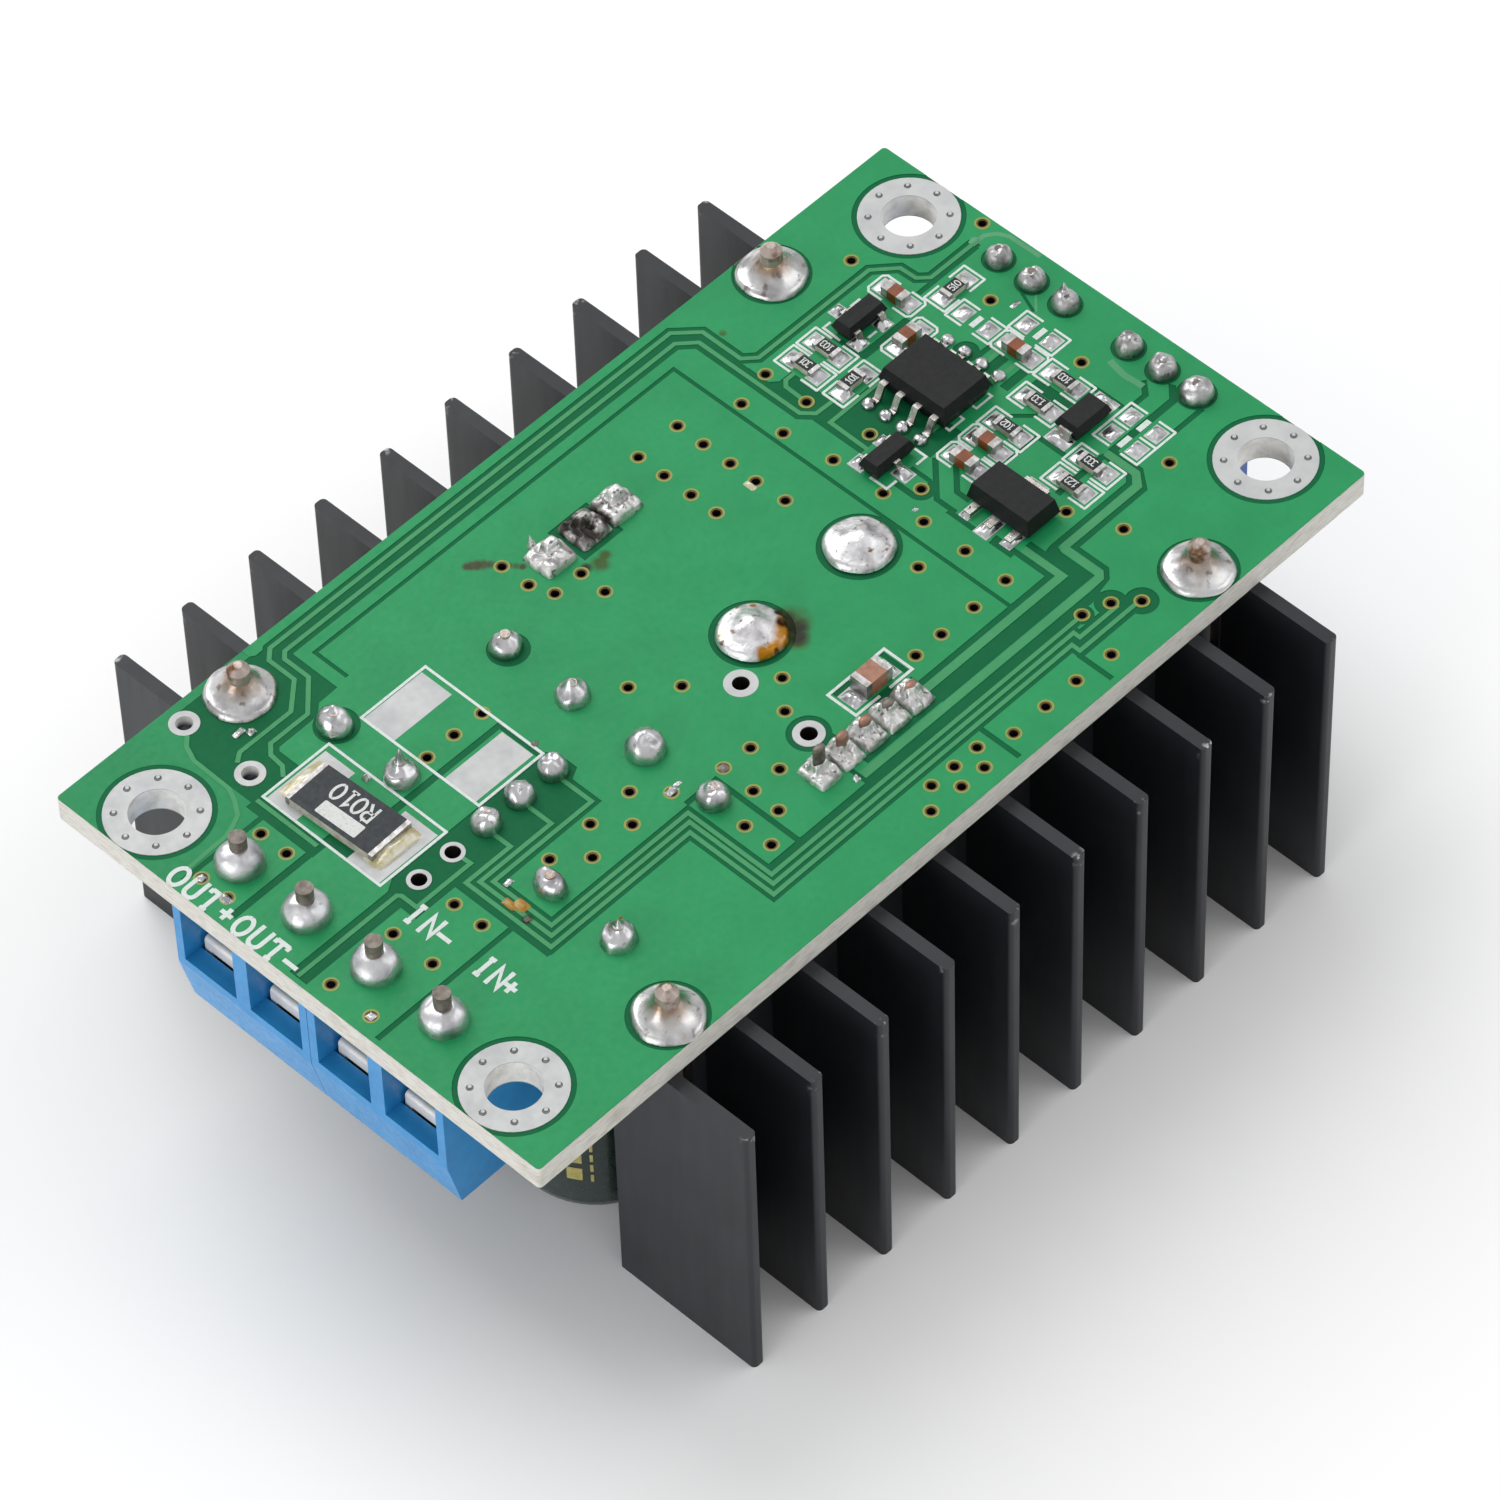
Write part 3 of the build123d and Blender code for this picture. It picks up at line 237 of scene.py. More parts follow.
# The board's mask by area: its colour, its darker colour and, where it isn't the usual one, its shine
MASKS = {
    "mask_pour": ((28, 142, 84), (16, 130, 76)),
    "mask_trace": ((62, 144, 92), (48, 134, 84)),
    "mask_wide": ((18, 133, 78), (10, 122, 70)),
    "mask_gap": ((16, 98, 60), (10, 90, 53), 0.08),
    "mask_haze": ((84, 150, 108), (66, 142, 94)),
}
# Colour, roughness and metal, then mottles, the roughness where it drifts, and the reliefs
PLAIN_PAINTS = {
    "silk": ((208, 216, 213), 0.6, 0, [(5, (180, 196, 188), 0.5, 0.8)], (), [(9, 0.008)]),
    "tin_pad": ((187, 188, 188), 0.45, 0.1, [(0.5, (174, 175, 176))], (2, 0.4, 0.55), [(1.6, 0.012)]),
    # Dark grey painted into the mounting pads' dimples as shade
    "dimple_shade": ((112, 112, 112), 0.5, 0.2, [(5, (70, 70, 70))]),
    "via_ring": ((138, 142, 46), 0.4, 0, [(2, (100, 134, 52), 0.45, 0.75)]),
    "via_rim": ((98, 70, 20), 0.5, 0, [(4, (60, 44, 14))]),
    # Near black painted on the walls of narrow holes as the shade deep inside them
    "bore_shade": ((26, 20, 12), 0.6, 0, [(4, (14, 12, 10))]),
    "barrel": ((232, 232, 230), 0.5, 0.1, [(1.5, (208, 206, 200))], (), [(2, 0.01)]),
    # The second, darker mottle of solder, solder_smooth and solder_grey is painted reflection: dark streaks
    # of the surroundings seen in the metal
    "solder": ((206, 206, 208), 0.3, 1, [(0.9, (146, 146, 149), 0.48, 0.72),
               (2.2, (104, 100, 98), 0.62, 0.72, 0.6)], (1.2, 0.24, 0.42, 0.4, 0.7), [(1.1, 0.03, 2)]),
    "solder_smooth": (
        (212, 212, 215), 0.4, 1, [(0.7, (164, 164, 168), 0.45, 0.7), (1.8, (110, 106, 104), 0.66, 0.74, 0.7)],
        (0.9, 0.34, 0.5, 0.4, 0.7), [(1.3, 0.07, 2)]),
    "solder_grey": (
        (186, 185, 186), 0.36, 1, [(1.1, (124, 122, 122), 0.46, 0.68), (2.4, (74, 70, 68), 0.62, 0.7, 0.7)],
        (1.4, 0.32, 0.5), [(1.5, 0.07)]),
    "sink_solder": ((212, 211, 211), 0.34, 1, [(0.7, (166, 164, 166), 0.45, 0.7)],
                    (1.2, 0.24, 0.46, 0.4, 0.7), [(0.9, 0.05)]),
    "solder_dull": ((214, 213, 212), 0.38, 1, [(1.5, (150, 147, 146), 0.5, 0.72)], (2, 0.42, 0.62, 0.4, 0.7),
                    [(2, 0.07)]),
    "coil_solder": (
        (224, 223, 225), 0.45, 1, [(0.9, (170, 166, 168), 0.5, 0.7), (2, (120, 92, 72), 0.62, 0.69, 0.9)],
        (1.6, 0.36, 0.6, 0.4, 0.7), [(1.4, 0.09)]),
    "amber_flux": ((158, 118, 16), 0.3, 0, [(2, (112, 76, 8), 0.45, 0.7)], (), [(2, 0.03)]),
    "cream_flux": ((206, 200, 176), 0.3, 0.2, [(1.4, (176, 166, 116), 0.45, 0.7),
                   (3, (214, 214, 210), 0.5, 0.75)], (), [(2, 0.03)]),
    "tinned": ((196, 194, 190), 0.3, 1, [(1.5, (154, 146, 134), 0.45, 0.75)], (3, 0.22, 0.42), [(4, 0.01)]),
    "oxidised_pin": ((118, 110, 102), 0.5, 0.35, [(1.6, (84, 74, 66), 0.42, 0.68)],
                     (3, 0.3, 0.5), [(5, 0.02)]),
    "bright_pin": ((172, 158, 150), 0.42, 0.5, [(1.2, (112, 74, 48), 0.5, 0.64)],
                   (3, 0.25, 0.46), [(5, 0.02)]),
    "copper_tip": ((158, 116, 98), 0.45, 0.4, [(3, (126, 100, 90))]),
    "chip_end": ((184, 183, 182), 0.36, 1, [(1.8, (138, 134, 130), 0.42, 0.7)], (3, 0.34, 0.5), [(3, 0.02)]),
    "aluminium": ((210, 211, 214), 0.3, 1, [(1, (186, 188, 192))], (), [(2, 0.008)]),
    "wire": ((196, 106, 52), 0.22, 1, [(0.8, (160, 76, 36))], (2, 0.16, 0.3), [(3, 0.01)]),
    "brass": ((206, 170, 92), 0.3, 1, [(1.5, (176, 138, 66))], (3, 0.22, 0.4), [(8, 0.01)]),
    "zinc": ((205, 206, 210), 0.3, 1, [(1.2, (176, 178, 184))], (2.5, 0.2, 0.42), [(6, 0.012)]),
    "clamp": ((244, 241, 238), 0.4, 0.2, [(1, (222, 219, 217))], (2, 0.36, 0.55), [(4, 0.02)]),
    "epoxy": ((15, 16, 18), 0.52, 0, [(2, (22, 23, 25))], (4, 0.44, 0.6), [(16, 0.01)]),
    "terminal": ((44, 140, 202), 0.36, 0, [(0.5, (38, 130, 192), 0.35, 0.7)], (2.5, 0.3, 0.44),
                 [(10, 0.005), (0.9, 0.015)]),
    "trimmer": ((26, 78, 164), 0.34, 0, [(0.6, (20, 68, 150), 0.35, 0.7)], (2.5, 0.28, 0.42), [(10, 0.006)]),
    "sleeve": ((14, 36, 30), 0.26, 0, [(0.4, (10, 28, 24))], (1.5, 0.22, 0.36), [(0.8, 0.03)]),
    "rubber": ((24, 24, 24), 0.8, 0, [(3, (34, 34, 34))], (), [(6, 0.02)]),
    "core": ((214, 176, 52), 0.5, 0, [(0.8, (196, 156, 40))], (2, 0.42, 0.6), [(3, 0.03)]),
    "silicone": ((150, 154, 160), 0.7, 0, [(1.5, (136, 140, 148))], (), [(6, 0.01)]),
    "lens": ((206, 30, 26), 0.12, 0, [(0.6, (176, 20, 18))], (), [(1.5, 0.01)]),
    "brown": ((128, 64, 24), 0.36, 0, [(2, (106, 50, 18))], (4, 0.3, 0.45), [(6, 0.01)]),
    "pink": ((158, 112, 88), 0.4, 0, [(2, (140, 92, 72))], (4, 0.35, 0.5), [(6, 0.01)]),
    "print": ((206, 209, 206), 0.6, 0, [(6, (176, 180, 176), 0.5, 0.8)]),
    "gold_print": ((170, 160, 92), 0.4, 0, [(3, (140, 132, 70))]),
}
SHEEN = {
    "amber_flux": {"Coat_Weight": 0.2},
    "wire": {"Coat_Weight": 0.6},
    "sleeve": {"Coat_Weight": 0.3},
    "epoxy": {"Specular_IOR_Level": 0.26},
    "lens": {"Transmission_Weight": 0.6, "IOR": 1.52},
}


def plain_paint(name, colour, rough, metal, mottles, drift=(), reliefs=()):
    made = Paint(name, rgb(*colour), rough, metal, **SHEEN.get(name, {}))
    for scale, other, *limits in mottles:
        made.mottle(scale, rgb(*other), *limits)
    if drift:
        made.rough(*drift)
    for bump in reliefs:
        made.relief(*bump)
    return made


def mask_paint(name, colour, dark, shine=0.25):
    made = Paint(name, rgb(*colour), 0.45, Specular_IOR_Level=shine)
    made.mottle(0.3, rgb(*dark), 0.35, 0.7, 0.6).mottle(2.4, rgb(*dark), 0.5, 0.8, 0.35)
    made.mix(made.near(TARNISH), rgb(50, 80, 26))
    made.mix(made.near(BURNS), rgb(30, 32, 12)).mix(made.near(STREAK), rgb(56, 62, 34))
    return made.rough(2.5, 0.38, 0.52).relief(0.7, 0.02, detail=4.0).relief(7.0, 0.002)


def add_stains_and_shade(paints):
    """Stains and changes of colour that have their own places, and painted shade deep in the spare holes."""
    barrel = paints["barrel"]
    # The spare holes' barrels darken towards their lower ends: painted shade deep in the holes
    deep_shade = barrel.ramp(barrel.part(barrel.place, "Z"), -0.35, -0.7)
    spare = barrel.near([(x, y, 1.2) for x, y, _ in SPARE_HOLES], 0.3)
    barrel.mix(barrel.combine("MULTIPLY", deep_shade, spare), rgb(48, 52, 66))
    sink = paints["sink_solder"]
    sink.mix(sink.near([(x, y, 1.35) for x, y in SINK_JOINTS], 0.5), rgb(150, 128, 108))
    sink.mottle(1.6, rgb(104, 92, 84), 0.6, 0.7, 0.7).mottle(0.5, rgb(176, 142, 88), 0.62, 0.72, 0.6)
    dull = paints["solder_dull"]
    middle = dull.near(MIDDLE_JOINT, 0.35)
    dull.mix(middle, rgb(160, 156, 153)).mottle(2.6, rgb(66, 62, 60), 0.6, 0.68, 0.8)
    patches = dull.ramp(dull.noise(1.1), 0.44, 0.54)
    dull.mix(dull.combine("MULTIPLY", middle, patches), rgb(68, 64, 62))
    coil = paints["coil_solder"]
    coil.mix(coil.near(AMBER, 0.5), rgb(178, 122, 34)).mix(coil.near(CHARRED, 0.5), rgb(58, 30, 8))
    core = paints["core"]
    core.mix(core.facing("Y", 0.5, 0.6), rgb(206, 208, 204))


def laminate():
    """The bare board: pale glass fibre, in layers at its cut edges."""
    made = Paint("laminate", rgb(214, 212, 205), 0.6)
    made.mottle(1.2, rgb(190, 187, 178), 0.42, 0.7, stretch=(1, 1, 6))
    made.mottle(0.5, rgb(160, 152, 136), 0.62, 0.8, 0.5)
    return made.relief(3.0, 0.06, stretch=(1, 1, 4)).relief(9.0, 0.02, stretch=(1, 1, 3))


def anodised():
    """Black anodised fins, drawn along their height, with bare specks at the fins' corners."""
    made = Paint("anodised", rgb(32, 34, 38), 0.42, 0.25, Specular_IOR_Level=0.45)
    made.mottle(0.25, rgb(38, 40, 44), 0.4, 0.7).rough(0.6, 0.4, 0.45, stretch=(2, 2, 0.3))
    made.relief(3.0, 0.003, stretch=(6, 6, 0.1)).relief(14.0, 0.003)
    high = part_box("heatsink_diode")[1]
    tips = made.ramp(made.part(made.place, "Y", True), high.y / MM - 0.5, high.y / MM)
    ends = made.ramp(made.part(made.place, "Z"), high.z / MM - 1.2, high.z / MM - 0.1)
    worn = made.combine("MULTIPLY", tips, ends)
    specks = made.ramp(made.noise(1.6), 0.56, 0.64)
    return made.mix(made.combine("MULTIPLY", worn, specks), rgb(176, 176, 178))


def ceramic_block(name, top):
    """A printed top on a pale ceramic body."""
    made = Paint(name, rgb(196, 192, 180), 0.5, Specular_IOR_Level=0.3).mottle(2.0, rgb(170, 164, 150))
    return made.mix(made.facing("Z", 0.6, 0.8), top).rough(3.0, 0.29, 0.42).relief(6.0, 0.006)


def make_materials():
    paints = {name: plain_paint(name, *row) for name, row in PLAIN_PAINTS.items()}
    add_stains_and_shade(paints)
    paints |= {name: mask_paint(name, *row) for name, row in MASKS.items()}
    paints |= {
        "laminate": laminate(),
        "anodised": anodised(),
        "shunt_black": ceramic_block("shunt_black", rgb(24, 33, 38)),
        "chip_black": ceramic_block("chip_black", rgb(20, 22, 26)),
    }
    return {name: paint.material for name, paint in paints.items()}


# Mesh helpers
def piece(name, shape, paint, smooth=False, replaced=()):
    """A mesh from a shape in millimetres, which rides on the module. Its tints pick from several paints."""
    mesh = bpy.data.meshes.new(name)
    mesh.from_pydata([Vector(p) * MM for p in shape.points], [], shape.faces)
    mesh.validate()
    for one in paint if isinstance(paint, list) else [paint]:
        mesh.materials.append(PAINTS[one])
    if isinstance(paint, list):
        mesh.polygons.foreach_set("material_index", shape.tints)
    if smooth:
        mesh.shade_smooth()
    made = bpy.data.objects.new(name, mesh)
    bpy.context.scene.collection.objects.link(made)
    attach(made, BODY)
    if replaced:
        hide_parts(*replaced)


class Heap:
    """Points and faces of several shapes that become one mesh."""

    def __init__(self):
        self.points = []
        self.faces = []
        self.tints = []

    def add(self, points, faces, tint=0):
        start = len(self.points)
        self.points += points
        self.faces += [[start + i for i in face] for face in faces]
        self.tints += [tint] * len(faces)

    def wind(self, rings, closed=True, caps=False, tint=0):
        """Joins rings of equal counts of points with quads."""
        count = len(rings[0])
        points = [point for ring in rings for point in ring]
        faces = []
        for low in range(len(rings) - 1):
            for i in range(count if closed else count - 1):
                a, b = low * count + i, low * count + (i + 1) % count
                faces.append([a, b, b + count, a + count])
        if caps:
            last = (len(rings) - 1) * count
            faces += [list(range(count))[::-1], list(range(last, last + count))]
        self.add(points, faces, tint)


def ccw(polygon):
    area = sum(a[0] * b[1] - b[0] * a[1] for a, b in zip(polygon, polygon[1:] + polygon[:1]))
    return polygon if area > 0 else polygon[::-1]


def rect(left, right, low, high):
    return [(left, low), (right, low), (right, high), (left, high)]


def arc(cx, cy, rx, ry, start, end, count=10):
    steps = [math.radians(start + (end - start) * i / count) for i in range(count + 1)]
    return [(cx + rx * math.cos(a), cy + ry * math.sin(a)) for a in steps]


def disc(x, y, radius, count=28):
    return arc(x, y, radius, radius, 0, 360, count)[:-1]


def stroke(points, width):
    """The outline of a line of some width, with mitred corners and square ends."""
    left, right = [], []
    for i, (x, y) in enumerate(points):
        ends = points[max(i - 1, 0):i + 2]
        steps = [(Vector(b) - Vector(a)).normalized() for a, b in zip(ends, ends[1:])]
        along = sum(steps, Vector((0, 0))).normalized()
        side = Vector((-along.y, along.x))
        normal = Vector((-steps[0].y, steps[0].x))
        reach = width / 2 / max(side.dot(normal), 0.4)
        left.append((x + side.x * reach, y + side.y * reach))
        right.append((x - side.x * reach, y - side.y * reach))
    return left + right[::-1]


# Stroke letters on a grid of 1 wide and 1.4 high
LETTERS = {
    "O": [arc(0.45, 0.7, 0.4, 0.62, 90, 270), arc(0.45, 0.7, 0.4, 0.62, 270, 450)],
    "0": [arc(0.45, 0.7, 0.33, 0.62, 90, 270), arc(0.45, 0.7, 0.33, 0.62, 270, 450)],
    "U": [[(0.1, 1.35), (0.1, 0.45)] + arc(0.45, 0.42, 0.35, 0.36, 180, 360) + [(0.8, 1.35)],
          [(-0.02, 1.32), (0.22, 1.32)], [(0.68, 1.32), (0.92, 1.32)]],
    "T": [[(0.0, 1.3), (0.9, 1.3)], [(0.45, 1.3), (0.45, 0.06)], [(0.25, 0.08), (0.65, 0.08)],
          [(0.03, 1.35), (0.03, 1.05)], [(0.87, 1.35), (0.87, 1.05)]],
    "I": [[(0.25, 1.3), (0.25, 0.08)], [(0.05, 1.32), (0.45, 1.32)], [(0.05, 0.08), (0.45, 0.08)]],
    "N": [[(0.12, 0.06), (0.12, 1.3), (0.82, 0.12), (0.82, 1.34)], [(0.0, 0.08), (0.26, 0.08)],
          [(0.68, 1.32), (0.94, 1.32)]],
    "+": [[(0.08, 0.66), (0.86, 0.66)], [(0.47, 0.26), (0.47, 1.06)]],
    "-": [[(0.0, 0.6), (0.95, 0.6)]],
    "R": [[(0.12, 0.04), (0.12, 1.32), (0.45, 1.32)] + arc(0.45, 1.0, 0.3, 0.32, 90, -90) + [(0.12, 0.68)],
          [(0.4, 0.68), (0.78, 0.04)]],
    "1": [[(0.15, 1.02), (0.42, 1.32), (0.42, 0.06)], [(0.15, 0.08), (0.68, 0.08)]],
    "2": [arc(0.45, 0.95, 0.32, 0.37, 160, -20) + [(0.1, 0.08), (0.8, 0.08)]],
    "3": [arc(0.42, 1.0, 0.3, 0.32, 150, -80), arc(0.42, 0.4, 0.33, 0.33, 80, -150)],
    "5": [[(0.75, 1.32), (0.18, 1.32), (0.14, 0.75)] + arc(0.42, 0.45, 0.35, 0.38, 110, -150)],
}
UP, DOWN, RIGHT, LEFT = (0, 1), (0, -1), (1, 0), (-1, 0)


def lettering(text, start, across, up, height, weight, advance=1.08):
    """The strokes of a word: across is its reading direction and up its letters' top."""
    size = height / 1.4
    across, up, start = Vector(across), Vector(up), Vector(start)
    found = []
    for index, letter in enumerate(text):
        for line in LETTERS.get(letter, []):
            places = [start + (across * (x + index * advance) + up * y) * size for x, y in line]
            found.append(stroke([tuple(p) for p in places], weight))
    return found


# The board's two faces, drawn in order: what comes later covers what came before
ART = {"solder": [], "parts": []}


def paint(kind, *polygons):
    ART["solder"].extend((kind, ccw([(x, y * ROW) for x, y in polygon])) for polygon in polygons)


def paint_under(kind, *polygons):
    ART["parts"].extend((kind, ccw(polygon)) for polygon in polygons)


# Radii of holes, and of the pad and the gap round a mounting hole
MOUNT_BORE, PAD_BORE, LAMP_BORE, VIA_BORE = 1.6, 0.5, 0.46, 0.26
MOUNT_PAD, MOUNT_GAP = 2.98, 3.3
# How many points a circle has
MOUNT_POINTS, HOLE_POINTS, RING_POINTS, VIA_POINTS = 48, 24, 20, 16
# Places of holes and joints. The spare holes and the lamp's holes also have the radius of their pads
MOUNTS = [(x, y) for x in (-29.5, 29.5) for y in (-13.69, 13.69)]
SINK_JOINTS = [(-20.7, 16.37), (21.0, 16.37), (-20.7, -16.37), (21.0, -16.37)]
COIL_JOINTS = [(1.13, -1.37), (9.63, -1.37)]
LAMP_HOLES = [(-23.2, -0.1, 0.7), (-20.66, -0.1, 0.7)]
SPARE_HOLES = [(-24.25, 17.1, 0.88), (-24.25, 11.9, 0.88), (-1.8, -3.35, 0.98), (-1.85, -8.55, 0.92)]
FILLED_VIAS = [(-31.0, 8.6), (-31.0, 6.6), (-31.35, -4.8), (-9.8, -5.9)]
VIAS = [
    (-26.75, 8.45), (-26.75, 6.45), (-17.0, 5.6), (-14.9, 5.65), (-12.8, 5.6), (-31.3, -1.7),
    (-26.7, -1.7), (-26.7, -4.7), (-23.1, -2.7), (-23.1, -4.8), (-17.5, -4.3), (-14.3, -4.2),
    (-11.3, -4.2), (-15.85, -5.9), (-12.8, -5.9), (-4.7, 12.25), (-4.65, 10.2), (-4.1, 8.7), (-2.1, 8.65),
    (-2.15, 6.75), (9.3, 4.0), (-6.15, 1.0), (-4.1, -1.1), (0.0, -4.75), (-1.6, -6.5), (-4.7, -6.9),
    (-6.7, -6.8), (-6.75, -9.1), (-4.7, -9.1), (-6.8, -11.05), (-8.8, -10.45), (-8.75, -12.4),
    (6.05, -9.05), (8.1, -9.05), (10.7, -9.05), (10.75, -4.8), (0.0, -15.95), (1.8, -15.95),
    (3.6, -15.95), (-1.3, -17.15), (1.05, -17.2), (2.85, -17.2), (5.65, -16.75), (8.2, -16.75),
    (10.65, -16.75), (24.8, 13.75), (15.3, 11.35), (12.8, 10.8), (15.35, 8.2), (12.8, 7.55), (13.25, 4.1),
    (16.0, 3.9), (13.35, 0.35), (31.9, 10.2), (27.9, 5.8), (15.0, -1.0), (13.35, -2.75), (27.9, -1.2),
    (13.35, -5.9), (19.2, -8.1), (13.3, -9.0), (25.7, -9.9), (20.4, -11.3), (14.3, -13.8), (16.0, -14.4),
    (17.25, -15.55), (13.3, -16.9),
] + [(x, y) for x in (6.08, 9.2) for y in (12.3, 10.28, 8.17, 6.2)]
# Centres of the chips that lie along the board's y and along its x, and of those with round brackets
CHIPS_UP = [
    (17.15, 10.02), (18.95, 10.02), (24.55, 9.95), (26.15, 5.28), (26.15, 1.94), (27.9, 2.04),
    (18.06, -1.55), (19.83, -1.55), (21.45, -1.57), (23.95, -1.57), (26.2, -1.47), (20.82, -7.04),
    (22.67, -6.99), (25.15, -7.0), (26.75, -7.0),
]
CHIPS_FLAT = [(18.1, 7.17), (22.65, 7.17), (27.15, 7.92)]
ROUND_BRACKETS = [
    (24.55, 9.95), (26.15, 1.94), (18.06, -1.55), (19.83, -1.55), (22.65, 7.17),
]
# Bars between the brackets of some chips
BARS = [(26.15, 5.26), (27.9, 1.98), (25.15, -7.0), (26.75, -7.0)]
# Traces
OUTER_PAIR = [
    [(-24.2, 12.97), (-23.6, 13.4), (-19.75, 13.4), (-18.05, 14.9), (-18.05, 16.9), (-17.4, 17.5),
     (13.9, 17.5), (15.2, 16.2), (15.2, 13.2), (15.95, 12.5), (24.95, 12.5), (26.25, 11.3), (26.3, 10.1),
     (26.9, 9.5), (30.6, 9.5)],
    [(-23.2, 10.4), (-22.7, 11.0), (-22.6, 12.0), (-22.05, 12.6), (-19.25, 12.6), (-17.4, 14.45),
     (-17.4, 16.35), (-17.0, 16.75), (13.5, 16.75), (14.5, 15.8), (14.5, 7.9), (15.1, 7.2), (16.6, 7.15)],
]
LAMP_TRIO = [
    [(-18.3, -0.6), (-18.3, -2.12), (-21.65, -2.12), (-21.65, -8.57), (-11.1, -8.57), (-11.1, -14.85),
     (12.35, -14.85), (12.35, -15.45), (17.2, -15.45)],
    [(-15.7, -0.6), (-15.7, -2.62), (-21.1, -2.62), (-21.1, -8.05), (-10.6, -8.05), (-10.6, -14.33),
     (13.05, -14.33), (13.05, -14.8), (16.0, -14.8), (16.0, -14.5)],
    [(-13.15, -0.6), (-13.15, -3.15), (-20.6, -3.15), (-20.6, -7.55), (-10.2, -7.55), (-10.2, -13.82),
     (14.3, -13.82)],
]
EDGE_TRACE = [
    (-24.7, 16.4), (-25.3, 15.8), (-25.7, 14.8), (-25.75, 12.0), (-26.1, 11.2), (-26.7, 10.3),
    (-27.4, 9.95), (-28.1, 9.72), (-31.0, 9.62),
]
SUPPLY_PAIR = [
    [(-0.9, -11.08), (15.6, -11.08), (15.6, -8.2)],
    [(-2.0, -12.7), (16.9, -12.7), (17.15, -12.45), (17.15, -9.95), (17.35, -9.74), (23.25, -9.74),
     (23.86, -9.05), (23.86, -6.8)],
]
# Widths of thin and broad traces and of the dark gap beside them
THIN, BROAD, DARK = 0.27, 0.5, 0.8
# From a chip's centre to its pads' centres, and half the pads' width and length
CHIP_REACH, PAD_SIDE, PAD_END = 0.97, 0.58, 0.5


# Areas without copper, from the left to the right of the board
LEFT_GAPS = [
    [(-25.6, 10.3), (-25.6, 14.9), (-25.1, 16.0), (-24.0, 17.9), (-18.6, 17.9), (-18.3, 17.7),
     (-16.85, 17.7), (-16.85, 12.75), (-18.3, 12.7), (-18.95, 12.1), (-22.1, 12.05), (-22.1, 10.3)],
    rect(-31.8, -25.6, 9.05, 9.4), rect(-26.0, -25.0, 5.2, 10.4), rect(-31.7, -24.8, 5.25, 5.72),
    [(-25.0, 5.7), (-22.5, 5.7), (-20.8, 4.55), (-12.6, 4.5), (-12.6, 1.1), (-12.95, 1.1), (-12.95, 4.1),
     (-20.9, 4.05), (-24.9, 3.8)],
    [(-32.2, 0.55), (-24.9, 0.55), (-24.0, 1.1), (-12.4, 1.1), (-12.0, 0.6), (-12.0, -0.9),
     (-12.75, -1.3), (-12.75, -3.55), (-20.4, -3.6), (-20.6, -1.9), (-25.2, -1.9), (-25.2, -0.75),
     (-32.2, -0.75)],
    rect(-22.25, -21.8, -8.9, -1.9), rect(-32.2, -22.0, -6.3, -5.95),
    stroke([(-15.95, 12.9), (-15.95, 15.45), (12.1, 15.45), (12.1, -10.6)], 0.26),
    stroke([(-9.85, -7.05), (-7.55, -7.05), (-7.55, -13.3)], 0.36), rect(-10.0, -2.0, -13.65, -13.2),
]
MIDDLE_GAPS = [
    rect(-2.2, 16.2, -13.65, -13.0), rect(-2.3, -2.0, -13.2, -12.0), rect(-1.2, 4.7, -12.35, -11.9),
    [(4.65, -11.35), (15.85, -11.35), (15.85, -8.1), (16.3, -8.1), (16.3, -9.2), (16.8, -9.1),
     (23.0, -9.1), (23.4, -8.7), (23.45, -6.7), (23.7, -6.7), (23.7, -8.9), (23.1, -9.45), (17.0, -9.5),
     (16.85, -9.9), (16.85, -12.4), (4.65, -12.4)],
    rect(4.65, 15.3, -10.8, -10.4), rect(14.95, 15.35, -10.8, -6.4), rect(14.65, 15.0, -8.1, -6.45),
    rect(4.5, 4.85, -18.1, -15.2), rect(11.9, 12.25, -18.1, -15.6), rect(-1.3, 1.75, 9.15, 12.1),
    rect(-1.1, 4.7, -10.12, -9.95), rect(2.1, 3.5, -10.3, -9.4), rect(-1.25, -0.95, -10.1, -8.5),
    rect(1.0, 2.3, -7.5, -7.9), rect(4.72, 5.05, -9.5, -7.5), rect(4.5, 4.8, -10.5, -9.9),
]
